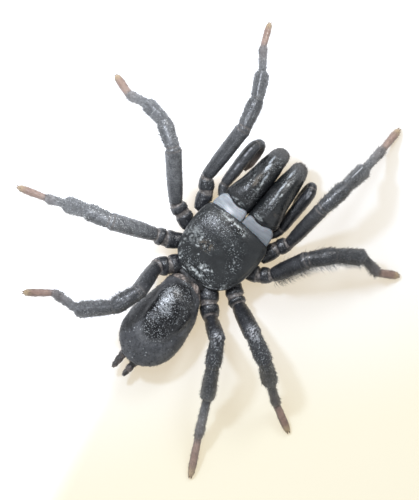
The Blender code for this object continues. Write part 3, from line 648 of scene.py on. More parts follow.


# Painted highlights on the back, and places thick with painted glints: left and fore place, half sizes,
# strength
SHIELD_PAINTED_HIGHLIGHTS = (
    (-0.02, -1.46, 0.40, 0.14, 1.0), (-0.38, -1.42, 0.26, 0.10, 1.0), (0.04, -1.64, 0.26, 0.12, 1.0),
    (0.12, -2.08, 0.80, 0.15, 1.0), (0.60, -2.16, 0.30, 0.09, 0.9), (1.12, -2.36, 0.34, 0.06, 0.9),
    (-0.80, -2.36, 0.28, 0.06, 0.7), (-1.05, -2.22, 0.10, 0.10, 0.9), (1.55, -2.02, 0.10, 0.08, 0.8),
    (1.25, -0.24, 0.13, 0.17, 0.8), (1.19, -0.74, 0.15, 0.11, 0.8), (0.85, -0.50, 0.11, 0.10, 0.6),
    (1.85, -0.35, 0.60, 0.60, 0.34), (-1.26, -0.16, 0.10, 0.17, 0.9), (-1.45, -0.55, 0.14, 0.11, 1.0),
    (0.50, 1.80, 0.75, 0.12, 1.0), (0.95, 1.90, 0.50, 0.08, 1.0), (-0.25, 1.76, 0.40, 0.12, 0.9),
    (-0.55, 1.55, 0.22, 0.10, 0.9), (0.40, 1.48, 0.16, 0.07, 0.9), (1.85, 1.30, 0.16, 0.10, 0.5),
    (0.79, -1.17, 0.08, 0.09, 1.0), (1.36, -1.40, 0.05, 0.05, 1.0), (1.51, -1.88, 0.05, 0.05, 1.0),
    (0.99, -1.88, 0.04, 0.07, 0.9), (1.53, 0.27, 0.07, 0.05, 0.9), (1.39, 0.05, 0.05, 0.06, 0.9),
    (0.77, -0.01, 0.05, 0.05, 0.9), (0.20, 0.10, 0.04, 0.04, 0.8), (-1.11, 0.22, 0.05, 0.05, 0.9),
    (-0.51, 0.67, 0.06, 0.05, 0.8), (2.05, -1.15, 0.10, 0.35, 0.5), (1.75, -1.75, 0.12, 0.20, 0.5),
    (-1.70, -1.80, 0.12, 0.25, 0.5),
)
SHIELD_GLINTS = (
    (0.95, 1.15, 1.40, 0.55, 1.0), (0.30, 1.70, 1.15, 0.36, 1.0), (2.00, 0.60, 0.40, 0.95, 0.8),
    (0.90, -0.35, 0.95, 0.60, 0.6), (-1.35, -0.30, 0.50, 0.65, 0.8), (0.10, -1.85, 1.40, 0.60, 0.9),
    (-0.60, 0.60, 0.80, 0.65, 0.6), (-1.70, -1.50, 0.40, 0.60, 0.5), (1.70, -1.40, 0.40, 0.60, 0.6),
)
SHIELD_TAN = (0.78, -0.42, 0.55, 0.36, 1.0)
SHIELD_RIM_UP = 1.78
# Painted highlights on each jaw, and pale patches at its base: left and fore place, half sizes, strength
JAW_PAINTED_HIGHLIGHTS = {
    "left": ((0.56, 4.95, 0.09, 0.38, 0.9), (0.52, 4.30, 0.08, 0.40, 0.6), (1.23, 4.60, 0.04, 0.40, 0.7),
             (0.95, 2.98, 0.50, 0.13, 0.7)),
    "right": ((0.78, 5.85, 0.05, 0.22, 0.9), (0.85, 4.95, 0.06, 0.32, 0.9), (0.62, 4.75, 0.05, 0.30, 0.7),
              (0.62, 3.02, 0.40, 0.13, 0.7)),
}
# Long unbroken painted gleams
JAW_GLEAM = {
    "left": ((1.00, 6.30, 0.07, 0.38, 1.0), (0.90, 5.78, 0.11, 0.36, 1.0), (0.62, 5.20, 0.06, 0.40, 0.5)),
    "right": ((0.50, 6.45, 0.07, 0.42, 0.8), (0.58, 5.40, 0.06, 0.50, 0.8), (0.66, 4.50, 0.05, 0.45, 0.5)),
}
# Places thick with painted glints on each jaw
JAW_GLINTS = {
    "left": ((0.60, 6.40, 0.40, 0.70, 1.0), (0.75, 5.20, 0.35, 0.90, 0.7), (0.60, 3.90, 0.40, 0.80, 0.7)),
    "right": ((0.60, 6.20, 0.35, 0.90, 1.0), (0.65, 4.30, 0.36, 0.75, 1.0), (0.55, 3.20, 0.40, 0.50, 0.7)),
}
JAW_BROWN = {"left": (0.92, 4.75, 0.18, 0.50, 1.0), "right": (1.42, 3.80, 0.22, 0.14, 0.35)}
# Places thick with painted glints on the abdomen's plate: left and fore place, half sizes, strength
PLATE_GLINTS = (
    (0.50, -4.15, 0.60, 0.85, 1.0), (0.15, -5.10, 0.75, 0.75, 1.0), (0.05, -6.30, 0.85, 0.60, 0.7),
    (0.10, -3.03, 0.55, 0.10, 1.0), (-0.95, -4.00, 0.10, 0.60, 0.9), (-0.40, -3.60, 0.50, 0.50, 0.6),
    (-0.10, -6.60, 1.10, 0.80, 0.8), (-0.60, -4.90, 0.60, 0.90, 0.45),
)
# The painted highlight on the abdomen's plate, in the same columns
PLATE_SHINE = (
    (0.50, -4.35, 0.36, 0.60, 1.0), (0.20, -5.10, 0.55, 0.36, 0.6), (0.30, -5.95, 0.46, 0.18, 0.25),
)


def spots(left, fore, places):
    """How far each point lies in the nearest of some oval places, from 0 to 1."""
    found = np.zeros(np.broadcast(left, fore).shape)
    for spot_left, spot_fore, half_left, half_fore, strength in places:
        away = np.hypot((left - spot_left) / half_left, (fore - spot_fore) / half_fore)
        found = np.maximum(found, strength * fall(away, 1.3, 0.8))
    return found


def stations(*runs):
    """Places along the body, from runs of evenly spaced ones: where each begins and ends, and how many."""
    places = [np.linspace(*run)[:-1] for run in runs[:-1]]
    return np.concatenate([*places, np.linspace(*runs[-1])])


def front_bow(left, fore):
    """How far the shield's front edge bows forward of its straight rows."""
    return (FRONT_BOW_AHEAD - FRONT_BOW_BACK * (left / FRONT_HALF_WIDTH) ** 2) * rise(fore, 1.0, 1.08)


def painted_light_and_tan_marks(points, where=1.0):
    """The painted highlights, painted glints and tan spot of the back at some points."""
    left, fore = points[..., 0] + MIDDLE_LEFT, MIDDLE_FORE - points[..., 1]
    broken = rise(rough(points, 6.0, 1.0), -0.30, 0.5) * where
    # Painted highlights and painted glints, and the tan spot
    return {
        "painted_highlight": spots(left, fore, SHIELD_PAINTED_HIGHLIGHTS) * broken,
        "glint": spots(left, fore, SHIELD_GLINTS) * where,
        "brown": spots(left, fore, (SHIELD_TAN,)) * broken,
    }


def carapace_skin(upper=190, lower=30):
    """The back shield: rings in planes square to the body's length."""
    fore = stations(*CARAPACE_ROWS)
    half_width = curve(CARAPACE_STATIONS, fore)[:, 0]
    turn = np.linspace(0, math.pi, upper)
    left = half_width[:, None] * np.cos(turn)[None]
    grid_fore = np.repeat(fore[:, None], upper, axis=1)
    up = carapace_height(left, grid_fore)
    top = place(left, grid_fore + front_bow(left, grid_fore), up)
    under_turn = np.linspace(0, math.pi, lower + 2)[1:-1]
    under_left = -(half_width[:, None] - 0.14) * np.cos(under_turn)[None]
    under_fore = np.repeat(fore[:, None], lower, axis=1)
    under = place(under_left, under_fore + front_bow(under_left, under_fore), CARAPACE_FLOOR)
    points = np.concatenate([top, under], axis=1)
    # Painted highlights and glints on the shield's upper side
    skin = Skin(points, **painted_light_and_tan_marks(points, points[..., 2] > SHIELD_RIM_UP))
    grain_rows = rough(points * np.array((0.8, 2.4, 1.0)), 3.4, 12.0)
    amount = rough(points, 1.6, 4.0) * 0.014 + grain_rows * 0.0065 + rough(points, 9.0, 2.0) * 0.004
    return skin.push(amount - 0.02 * skin.values["painted_highlight"] * rough(points, 5.0, 7.0))


def mound_height(left, fore):
    """How far the eye mound's top lies over its middle."""
    spread = (left / MOUND_HALF[0]) ** 2 + (fore / MOUND_HALF[1]) ** 2
    return MOUND_HALF[2] * np.sqrt(np.maximum(0.0, 1 - spread))


def ball_skin(left, fore, up, half, rows, columns):
    """A stretched ball with its poles to the sides."""
    tilt = np.linspace(0.02, math.pi - 0.02, rows)[:, None]
    turn = full_turn(columns)[None]
    across = np.cos(tilt) * np.ones_like(turn)
    return Skin(place(
        left + half[0] * across,
        fore + half[1] * np.sin(tilt) * np.cos(turn),
        up + half[2] * np.sin(tilt) * np.sin(turn),
    ))


def mound_skin():
    """The low mound that carries the eyes, with the same painted highlights and glints as the shield round
    it.
    """
    skin = ball_skin(0, MOUND_FORE, MOUND_UP - MOUND_SINK, [h * 0.98 for h in MOUND_HALF], 70, 70)
    skin.values = {**painted_light_and_tan_marks(skin.points), "brown": np.zeros(skin.points.shape[:2])}
    return skin.push(rough(skin.points, 5.0, 3.0) * 0.012)


def sternum_skin(rows=90, columns=64):
    fore = np.linspace(2.35, -1.55, rows)
    half_width, underside = curve(STERNUM_STATIONS, fore).T
    turn = full_turn(columns)
    middle = (STERNUM_TOP + underside) / 2
    half_height = (STERNUM_TOP - underside) / 2
    bulge = np.abs(np.sin(turn)) ** 0.7 * np.sign(np.sin(turn))
    lip_line = 0.06 * bell(fore - LIP_FORE, 0.05)
    up = middle[:, None] + half_height[:, None] * bulge[None] * (1 - lip_line[:, None])
    left = half_width[:, None] * np.cos(turn)[None]
    skin = Skin(place(left, fore[:, None], up))
    # The smooth oval spots that mark where muscles hold, three on each side
    pits = np.zeros((rows, columns))
    for spot_left, spot_fore in STERNUM_PITS:
        pits += bell(np.hypot(np.abs(left) - spot_left, fore[:, None] - spot_fore), 0.09)
    return skin.push(-0.03 * pits * (np.sin(turn)[None] < 0) + rough(skin.points, 3.0, 1.0) * 0.006)


def pedicel_skin(rows=70, columns=48):
    """The waist, which runs a little way into both halves of the body, with its folds."""
    fore = np.linspace(-1.55, -3.25, rows)
    share = np.linspace(0, 1, rows)
    swell = 0.96 + 0.07 * np.cos(share * math.tau * PEDICEL_FOLDS) + 0.10 * rise(share, 0.6, 0.4)
    turn = full_turn(columns)
    left = PEDICEL_HALF[0] * swell[:, None] * np.cos(turn)[None]
    up = PEDICEL_UP + PEDICEL_HALF[1] * swell[:, None] * np.sin(turn)[None] + 0.16 * share[:, None] ** 2
    skin = Skin(place(left, fore[:, None], up))
    return skin.push(rough(skin.points, 6.0, 8.0) * 0.012)


def girdle_skin(rows=120, columns=60):
    """The soft flank under the carapace's edge, which the legs grow out of, back to the collar."""
    turn_out = np.linspace(2.02, -2.95, rows)
    half_width = np.minimum(curve(CARAPACE_STATIONS, np.clip(turn_out, -2.48, 2.08))[:, 0] - 0.28, 2.05)
    half_width = np.maximum(half_width, 1.30) * rise(turn_out, -3.3, 0.7)
    turn = full_turn(columns)
    left = half_width[:, None] * np.cos(turn)[None]
    up = 1.42 + 0.36 * np.sin(turn)[None] - 0.10 * fall(turn_out, -2.0, 0.5)[:, None]
    skin = Skin(place(left, turn_out[:, None], up))
    return skin.push(rough(skin.points, 4.0, 6.0) * 0.02 - 0.02)


def abdomen_skin(columns=200):
    """The hind body, with the plate on its back, the collar at its front and the lung covers below."""
    fore = stations(*ABDOMEN_ROWS)
    middle_left, half_width, top, underside = curve(ABDOMEN_STATIONS, fore).T
    turn = full_turn(columns)
    sine, fore = np.sin(turn)[None], fore[:, None]
    over = sine > 0
    middle, half_height = (top + underside) / 2, (top - underside) / 2
    left = half_width[:, None] * np.cos(turn)[None]
    up = middle[:, None] + half_height[:, None] * sine
    front, rear = SCUTUM_FORE
    spread = np.hypot(left / SCUTUM_HALF_WIDTH, (fore - (front + rear) / 2) / ((front - rear) / 2))
    # Patterns that depend only on where a point lies from above
    flat = place(left, fore, 0.0)
    wander = rough(flat, 1.4, 2.0) * 0.08
    scutum = smooth_step((1.22 - spread + wander) / 0.32) * over
    plate_rim = bell(spread - 1.18 - wander, 0.11) * over
    here = middle_left[:, None] + left
    edge_top, edge_side = COLLAR_FORE
    edge = edge_side + (edge_top - edge_side) * np.maximum(sine, 0.0)
    collar = smooth_step((fore - edge - 0.8 * wander) / 0.14)
    # Painted glints and a painted highlight on the plate
    glint = spots(here, fore, PLATE_GLINTS) * over
    drift = rough(flat, 2.4, 6.0) * 0.28
    shine = spots(here + drift, fore - drift, PLATE_SHINE) * over
    # The pale cloth of the collar shows on both sides of a dark middle
    off = here - 0.12
    pale = collar * (1 - 0.85 * bell(off, 0.30)) * (0.55 + 0.45 * bell(np.abs(off) - 0.55, 0.30))
    skin = Skin(
        place(here, fore, up), scutum=scutum, collar=collar, pale=pale, glint=glint, shine=shine
    )
    # Fine cross wrinkles on the plate, soft folds on the rest
    stretched = skin.points * np.array((0.9, 2.6, 1.0))
    wrinkle = rough(skin.points, 1.3, 4.0) * 0.030 + rough(stretched, 3.2, 7.0) * 0.007
    wrinkle = wrinkle + rough(skin.points, 7.0, 1.0) * 0.007
    squeezed = skin.points * np.array((0.6, 1.5, 0.8))
    folds = rough(squeezed, 1.8, 5.0) * 0.020 + rough(skin.points, 8.0, 3.0) * 0.006
    lungs = np.zeros_like(left)
    for lung_fore in LUNG_FORES:
        for side in (1, -1):
            across = np.maximum(np.abs(left - side * LUNG_LEFT) - 0.30, 0.0)
            lungs += bell(np.hypot(across, fore - lung_fore), 0.20)
    slit = bell(fore - SLIT_FORE, 0.03) * (np.abs(left) < SLIT_HALF_WIDTH)
    below = smooth_step(-sine * 3)
    pleats = np.sin(turn * 15 + 3 * rough(skin.points, 0.8, 3.0)) + 0.6 * np.sin(fore * 34 + 2 * wander)
    folds = folds + 0.020 * pleats * collar
    lift = SCUTUM_RISE * scutum + wrinkle * scutum + folds * (1 - scutum) - 0.03 * plate_rim
    return skin.push(lift + (0.035 * np.minimum(lungs, 1) - 0.04 * slit) * below)


def spinneret_skins():
    """The long hind pair, jointed in three, and the short pair in front of them."""
    skins = []
    for side in (1, -1):
        for path, profile, rows, sides in (
            (SPINNERET_PATH, SPINNERET_PROFILE, 90, 32),
            (SHORT_SPINNERET_PATH, SHORT_SPINNERET_PROFILE, 30, 24),
        ):
            skin = bezier_tube(mirrored(path, side), profile, rows, sides)
            skin.values = {"collar": 1.0, "pale": 0.35}
            skins.append(skin.push(rough(skin.points, 6.0, 2.0) * 0.006))
    return skins


def chelicera_skin(side, name, columns=96):
    """One jaw: side is 1 for the left one and -1 for its mirror image."""
    fore = stations(*CHELICERA_ROWS)
    inner, outer, top, underside = curve(CHELICERA_STATIONS, fore).T
    turn = full_turn(columns)
    middle = underside + (top - underside) * 0.45
    sine, fore = np.sin(turn)[None], fore[:, None]
    over = sine > 0
    reach = np.where(over, (top - middle)[:, None], (middle - underside)[:, None])
    left = ((inner + outer) / 2)[:, None] + ((outer - inner) / 2)[:, None] * np.cos(turn)[None]
    up = middle[:, None] + reach * sine
    share = (fore - JAW_BASE) / JAW_LENGTH
    # Two low keels along the back, which draw together towards the tip
    keels = np.zeros_like(left)
    for place_left in JAW_KEELS:
        keels += bell(left - place_left * (1 - 0.12 * share), 0.07)
    keels = keels * over * smooth_step(share * 5) * smooth_step((0.93 - share) * 8)
    broken = rise(rough(place(left, fore, up), 7.0, 1.0 + side), -0.25, 0.5) * over
    # Painted highlights, glints and gleams on the jaw, and its brown patch
    skin = Skin(
        place(side * left, fore, up), crest=bell(left - JAW_CREST, 0.42) * over,
        painted_highlight=spots(left, fore, JAW_PAINTED_HIGHLIGHTS[name]) * broken,
        glint=spots(left, fore, JAW_GLINTS[name]) * over,
        brown=spots(left, fore, (JAW_BROWN[name],)) * over,
        gleam=spots(left, fore, JAW_GLEAM[name]) * over,
    )
    amount = 0.020 * keels + rough(skin.points, 1.5, 6.0) * 0.012 + rough(skin.points, 6.5, 4.0) * 0.0075
    skin = skin.push(amount)
    skin.values["foot"] = 0.30 * rise(fore, 6.7, 0.5)
    # A painted glare on the tips
    skin.values["painted_glare"] = 0.50 * rise(fore, 6.2, 0.9)
    skin.fore = np.broadcast_to(fore, left.shape)
    return skin


def fold_skin(rows=240, columns=90):
    """The soft pale fold between carapace and jaws: two lobes with fine lines across."""
    left = np.linspace(2.18, -2.18, rows)
    front, rear_up, front_up = curve(FOLD_STATIONS, np.abs(left)).T
    turn = full_turn(columns)
    middle_fore, half_length = (front + FOLD_REAR) / 2, (front - FOLD_REAR) / 2
    out = np.sign(np.cos(turn)) * np.abs(np.cos(turn)) ** 0.75
    fore = middle_fore[:, None] + half_length[:, None] * out[None]
    share = (fore - FOLD_REAR) / (front - FOLD_REAR)[:, None]
    height = rear_up[:, None] + (front_up - rear_up)[:, None] * share
    sine = np.sin(turn)[None]
    above = height - FOLD_FLOOR
    upper = height - above * 0.45 * (1 - np.abs(sine) ** 0.55)
    up = np.where(sine >= 0, upper, FOLD_FLOOR + above * 0.55 * (1 + sine))
    left = left[:, None]
    skin = Skin(place(left, fore, up))
    lines = np.sin(share * math.tau * 9 + 0.8 * rough(skin.points, 1.5, 3.0))
    fine = np.sin(share * math.tau * 23 + 1.5 * rough(skin.points, 2.5, 6.0))
    # Painted shade over the right lobe, and the fine lines a little darker
    skin.values["shade"] = fall(left, 0.25, 0.5) + 0.20 * (lines > 0.4)
    # Painted shade in the notch between the lobes
    skin.values["painted_notch_shade"] = bell(left, 0.04) * rise(share, 0.30, 0.15)
    # A painted highlight on the left lobe, towards its rear
    low = fall(share, 0.66, 0.22)
    skin.values["lit"] = bell(left - 1.05, 0.36) * low * (0.7 + 0.3 * lines)
    amount = (0.012 * lines + 0.004 * fine) * smooth_step(sine * 3) + rough(skin.points, 3.0, 9.0) * 0.010
    return skin.push(amount)


class Look:
    """A material that is put together node by node. Patterns have so many waves to the millimetre."""

    def __init__(self, name):
        self.material = bpy.data.materials.new(name)
        self.material.use_nodes = True
        self.tree = self.material.node_tree
        self.shader = self.tree.nodes["Principled BSDF"]
        self.place = self.node("ShaderNodeTexCoord").outputs["Object"]

    def node(self, kind, inputs=None, **settings):
        made = self.tree.nodes.new(kind)
        for key, value in settings.items():
            setattr(made, key, value)
        for key, value in (inputs or {}).items():
            if isinstance(value, bpy.types.NodeSocket):
                self.tree.links.new(value, made.inputs[key])
            else:
                made.inputs[key].default_value = value
        return made

    def set(self, **inputs):
        for key, value in inputs.items():
            socket = self.shader.inputs[key.replace("_", " ")]
            if isinstance(value, bpy.types.NodeSocket):
                self.tree.links.new(value, socket)
            else:
                socket.default_value = (*value, 1.0) if isinstance(value, tuple) else value

    def noise(self, per_mm, detail=4.0, roughness=0.6, stretch=None):
        where = self.place
        if stretch:
            where = self.node("ShaderNodeMapping", {"Vector": where, "Scale": stretch}).outputs[0]
        made = self.node(
            "ShaderNodeTexNoise",
            {"Vector": where, "Scale": per_mm / MM, "Detail": detail, "Roughness": roughness},
        )
        return made.outputs["Fac"]

    def cells(self, per_mm):
        """Uneven cells: the way from each point to the middle of its cell, and the cell's own colour."""
        made = self.node("ShaderNodeTexVoronoi", {"Vector": self.place, "Scale": per_mm / MM})
        return made.outputs["Distance"], made.outputs["Color"]

    def specks(self, per_mm, share, size):
        """Small dots in some cells: how many cells to the millimetre, what share of them, dot size."""
        away, colour = self.cells(per_mm)
        lot = self.node("ShaderNodeSeparateColor", {"Color": colour}).outputs["Red"]
        return self.times(self.ramp(away, size * 0.5, size, 1.0, 0.0), self.maths("LESS_THAN", lot, share))

    def pits(self, per_mm, low, high):
        """A height that sinks away from the middle of each cell."""
        return self.ramp(self.cells(per_mm)[0], low, high, 1.0, 0.0)

    def cloud(self, per_mm, detail, low, high, to_low=0.0, to_high=1.0, stretch=None):
        """Noise with the part between low and high spread over a range of values."""
        return self.ramp(self.noise(per_mm, detail, stretch=stretch), low, high, to_low, to_high)

    def mottled(self, per_mm, detail, low, high, dark, light):
        """Two colours that run into one another in clouds."""
        return self.mix(self.cloud(per_mm, detail, low, high), dark, light)

    def ramp(self, value, low, high, to_low=0.0, to_high=1.0):
        made = self.node(
            "ShaderNodeMapRange",
            {"Value": value, "From Min": low, "From Max": high, "To Min": to_low, "To Max": to_high},
            interpolation_type="SMOOTHSTEP",
        )
        return made.outputs["Result"]

    def maths(self, operation, a, b=0.0):
        return self.node("ShaderNodeMath", {0: a, 1: b}, operation=operation).outputs[0]

    def times(self, a, b):
        return self.maths("MULTIPLY", a, b)

    def most(self, a, b):
        return self.maths("MAXIMUM", a, b)

    def mix(self, factor, a, b):
        made = self.node("ShaderNodeMix", data_type="RGBA")
        for index, value in ((0, factor), (6, a), (7, b)):
            if isinstance(value, bpy.types.NodeSocket):
                self.tree.links.new(value, made.inputs[index])
            else:
                made.inputs[index].default_value = (*value, 1.0) if isinstance(value, tuple) else value
        return made.outputs[2]

    def value(self, name):
        return self.node("ShaderNodeAttribute", attribute_name=name).outputs["Fac"]

    def rest(self, normal):
        """The same bump for the shader and for its clear coat."""
        self.set(Normal=normal, Coat_Normal=normal)

    def bump(self, height, depth_mm, strength=1.0, under=None):
        inputs = {"Height": height, "Distance": depth_mm * MM, "Strength": strength}
        if under is not None:
            inputs["Normal"] = under
        return self.node("ShaderNodeBump", inputs).outputs["Normal"]


def shell_look(name, colour, pale, rough_low, rough_high, grain_mm=0.006, painted_highlight=False, coat=0.35):
    """Hard black cuticle: fine scales, pores and a slight mottle."""
    look = Look(name)
    mottle = look.cloud(1.1, 5.0, 0.40, 0.75)
    tone = look.mix(mottle, colour, pale)
    if painted_highlight:
        streaks = look.cloud(5.0, 4.0, 0.42, 0.60, 0.15, 0.60, stretch=(1.0, 0.35, 1.0))
        tone = look.mix(look.times(look.value("brown"), streaks), tone, (0.135, 0.108, 0.078))
        # Painted highlights in their places
        painted_highlight_tone = look.mottled(7.0, 4.0, 0.34, 0.60, (0.16, 0.17, 0.17), (0.56, 0.59, 0.58))
        tone = look.mix(look.value("painted_highlight"), tone, painted_highlight_tone)
        # Painted gleams
        gleam = look.cloud(8.0, 4.0, 0.38, 0.56, 0.20, 1.0, stretch=(1.0, 0.5, 1.0))
        tone = look.mix(look.times(look.value("gleam"), gleam), tone, (0.48, 0.52, 0.56))
        # Painted glints
        fine = look.most(look.specks(13.0, 0.42, 0.46), look.specks(5.5, 0.07, 0.22))
        fine = look.times(fine, look.cloud(3.0, 3.0, 0.30, 0.60, 0.30, 1.0))
        tone = look.mix(look.times(fine, look.value("glint")), tone, (0.42, 0.45, 0.46))
        # Painted glare where the skin holds it, at the jaws' tips
        tone = look.mix(look.times(look.value("painted_glare"), 0.6), tone, (0.235, 0.238, 0.245))
    look.set(Base_Color=tone)
    patches = look.cloud(2.3, 3.0, 0.35, 0.7, rough_low, rough_high)
    look.set(Roughness=patches, Specular_IOR_Level=0.5, Coat_Weight=coat, Coat_Roughness=0.10)
    scales = look.pits(9.0, 0.1, 0.6)
    uneven = look.bump(look.noise(6.0, 5.0), 0.016, 0.9)
    look.rest(look.bump(scales, grain_mm, 1.0, uneven))
    return look.material


def leg_look(name):
    """Cuticle of the limbs, with soft rings at the joints, painted highlight lines, painted glints, painted
    glare and brown feet.
    """
    look = Look(name)
    soft, foot, painted_streak, tip, glint, painted_glare = (
        look.value(key) for key in ("soft", "foot", "painted_streak", "tip", "glint", "painted_glare")
    )
    mottle = look.cloud(1.6, 5.0, 0.42, 0.72)
    black = look.mix(mottle, (0.0070, 0.0078, 0.0105), (0.020, 0.021, 0.026))
    brown = look.mottled(3.2, 4.0, 0.35, 0.7, (0.155, 0.084, 0.062), (0.245, 0.150, 0.112))
    brown = look.mix(look.times(tip, 0.8), brown, (0.38, 0.28, 0.14))
    # Painted glare lightens the black and the brown feet, patchy and grainy
    uneven = look.cloud(2.4, 4.0, 0.35, 0.65, 0.55, 1.0)
    grain = look.cloud(9.0, 4.0, 0.36, 0.60, 0.70, 1.12)
    painted_glare_patches = look.times(look.times(painted_glare, uneven), grain)
    black = look.mix(painted_glare_patches, black, (0.240, 0.246, 0.254))
    brown = look.mix(look.times(painted_glare, 0.75), brown, (0.58, 0.45, 0.38))
    black = look.mix(foot, black, brown)
    # Painted highlight lines
    black = look.mix(painted_streak, black, (0.50, 0.51, 0.54))
    # Painted glints, near white where the painted glare lies
    fine = look.most(look.specks(12.5, 0.48, 0.44), look.specks(6.0, 0.22, 0.24))
    fine = look.times(fine, look.cloud(2.6, 3.0, 0.34, 0.60))
    spark = look.mix(painted_glare, (0.42, 0.45, 0.47), (0.95, 0.95, 0.93))
    black = look.mix(look.times(fine, glint), black, spark)
    folds = look.noise(5.0, 4.0)
    pale = look.mix(look.ramp(folds, 0.35, 0.68), (0.060, 0.052, 0.048), (0.230, 0.205, 0.190))
    look.set(Base_Color=look.mix(soft, black, pale))
    patches = look.cloud(3.0, 3.0, 0.35, 0.7, 0.26, 0.40)
    dull = look.times(look.most(soft, glint), 0.12)
    look.set(Roughness=look.maths("ADD", patches, dull))
    look.set(Specular_IOR_Level=0.5, Coat_Weight=0.18, Coat_Roughness=0.13)
    pores = look.pits(9.0, 0.08, 0.6)
    hard = look.maths("SUBTRACT", 1.0, look.most(soft, painted_streak))
    ripples = look.bump(look.noise(7.0, 4.0), 0.014, 0.8)
    look.rest(look.bump(look.times(pores, hard), 0.010, 0.9, ripples))
    return look.material


def abdomen_look(name):
    """Leathery and matt, with a harder shining plate on the back."""
    look = Look(name)
    plate = look.value("scutum")
    velvet = look.mottled(1.4, 5.0, 0.38, 0.7, (0.052, 0.054, 0.060), (0.108, 0.110, 0.116))
    shell = look.mottled(2.0, 5.0, 0.4, 0.7, (0.0085, 0.009, 0.0105), (0.020, 0.020, 0.021))
    tone = look.mix(plate, velvet, shell)
    cloth = look.mottled(3.0, 5.0, 0.38, 0.60, (0.060, 0.052, 0.049), (0.330, 0.270, 0.240))
    cloth = look.mix(look.value("pale"), (0.022, 0.021, 0.021), cloth)
    tone = look.mix(look.value("collar"), tone, cloth)
    # A painted highlight on the plate
    lustre = look.cloud(9.0, 4.0, 0.40, 0.58, stretch=(0.8, 1.6, 1.0))
    tone = look.mix(look.times(lustre, look.value("shine")), tone, (0.36, 0.38, 0.40))
    # Painted glints in the glint places, and small pale dots all over
    fine = look.most(look.specks(14.0, 0.50, 0.46), look.specks(6.0, 0.16, 0.26))
    fine = look.times(fine, look.value("glint"))
    dots = look.most(look.specks(2.5, 0.75, 0.13), look.specks(4.4, 0.40, 0.14))
    tone = look.mix(look.most(fine, dots), tone, (0.40, 0.42, 0.43))
    look.set(Base_Color=tone)
    matt = look.cloud(3.0, 3.0, 0.35, 0.7, 0.46, 0.60)
    glossy = look.cloud(3.4, 3.0, 0.35, 0.7, 0.15, 0.28)
    look.set(Roughness=look.node("ShaderNodeMix", {0: plate, 2: matt, 3: glossy}).outputs[0])
    look.set(Specular_IOR_Level=0.5, Sheen_Weight=0.12, Sheen_Roughness=0.4)
    pits = look.pits(8.0, 0.08, 0.55)
    creases = look.bump(look.noise(6.0, 5.0, 0.65), 0.016, 0.8)
    look.set(Normal=look.bump(pits, 0.010, 0.8, creases))
    return look.material


def fold_look(name):
    """The pale satin fold, slightly translucent, with a lilac cast."""
    look = Look(name)
    tone = look.mottled(1.2, 4.0, 0.35, 0.7, (0.300, 0.325, 0.350), (0.420, 0.445, 0.475))
    # Painted shade over the right lobe
    tone = look.mix(look.times(look.value("shade"), 0.70), tone, (0.165, 0.178, 0.195))
    streaks = look.cloud(5.0, 4.0, 0.40, 0.66, stretch=(0.16, 1.0, 1.0))
    tone = look.mix(look.times(streaks, 0.50), tone, (0.15, 0.16, 0.18))
    # A painted highlight on the left lobe
    tone = look.mix(look.value("lit"), tone, (0.80, 0.83, 0.85))
    # Painted shade in the notch between the lobes
    look.set(Base_Color=look.mix(look.value("painted_notch_shade"), tone, (0.012, 0.012, 0.013)))
    look.set(Roughness=look.cloud(3.0, 3.0, 0.3, 0.7, 0.34, 0.50))
    look.set(Subsurface_Weight=0.15, Subsurface_Scale=0.0002, Specular_IOR_Level=0.5)
    lines = look.noise(9.0, 3.0, 0.6, (0.10, 1.0, 1.0))
    look.set(Normal=look.bump(lines, 0.010, 0.8))
    return look.material


def soft_look(name, dark, light, roughness):
    """Bare skin between the plates, finely folded."""
    look = Look(name)
    look.set(Base_Color=look.mottled(4.0, 5.0, 0.35, 0.68, dark, light))
    look.set(Roughness=look.cloud(3.0, 3.0, 0.3, 0.7, roughness - 0.08, roughness + 0.08))
    look.set(Subsurface_Weight=0.05, Subsurface_Scale=0.0001)
    look.set(Normal=look.bump(look.noise(11.0, 4.0, 0.6), 0.014, 0.9))
    return look.material


def glass_look(name):
    """The eyes: dark and wet, with a faint uneven depth."""
    look = Look(name)
    look.set(Base_Color=look.mix(look.noise(9.0, 2.0), (0.006, 0.006, 0.007), (0.016, 0.014, 0.013)))
    look.set(Roughness=look.cloud(14.0, 2.0, 0.3, 0.7, 0.05, 0.10))
    look.set(Specular_IOR_Level=0.8, Coat_Weight=0.8, Coat_Roughness=0.03)
    return look.material


def horn_look(name, dark, light):
    """Fangs and claws: smooth horn, reddish where it thins."""
    look = Look(name)
    look.set(Base_Color=look.mottled(1.5, 3.0, 0.35, 0.7, dark, light))
    look.set(Roughness=look.cloud(6.0, 3.0, 0.3, 0.7, 0.18, 0.30), Coat_Weight=0.3)
    look.set(Normal=look.bump(look.noise(10.0, 3.0), 0.003, 0.6))
    return look.material


def hair_look(name):
    look = Look(name)
    foot, shade, painted_glare = (look.value(key) for key in ("foot", "shade", "painted_glare"))
    lit = look.ramp(shade, 0.45, 0.95)
    black = look.mix(lit, (0.009, 0.009, 0.009), (0.170, 0.174, 0.172))
    brown = look.mix(shade, (0.110, 0.075, 0.055), (0.34, 0.26, 0.19))
    tone = look.mix(foot, black, brown)
    # Painted glare lightens the hairs where it lies
    look.set(Base_Color=look.mix(look.times(painted_glare, 0.8), tone, (0.30, 0.30, 0.295)))
    look.set(Roughness=look.cloud(20.0, 2.0, 0.3, 0.7, 0.34, 0.48), Specular_IOR_Level=0.6)
    look.set(Normal=look.bump(look.noise(30.0, 2.0), 0.002, 0.5))
    return look.material


# Corners of one hair: three at its root, three half way up and its tip, with their places on the flat map
HAIR_CORNERS = 7
HAIR_QUADS = ((0, 1, 4, 3), (1, 2, 5, 4), (2, 0, 3, 5))
HAIR_TRIANGLES = ((3, 4, 6), (4, 5, 6), (5, 3, 6), (2, 1, 0))
HAIR_PATCH = ((0, 0), (1, 0), (2, 0), (0, 1), (1, 1), (2, 1), (1, 2))
PATCH_STEP = 0.0014
PATCH_MARGIN = 0.001
TILE_FILL = 0.97
# The lowest that hairs and claws reach
LEAST_UP = 0.002


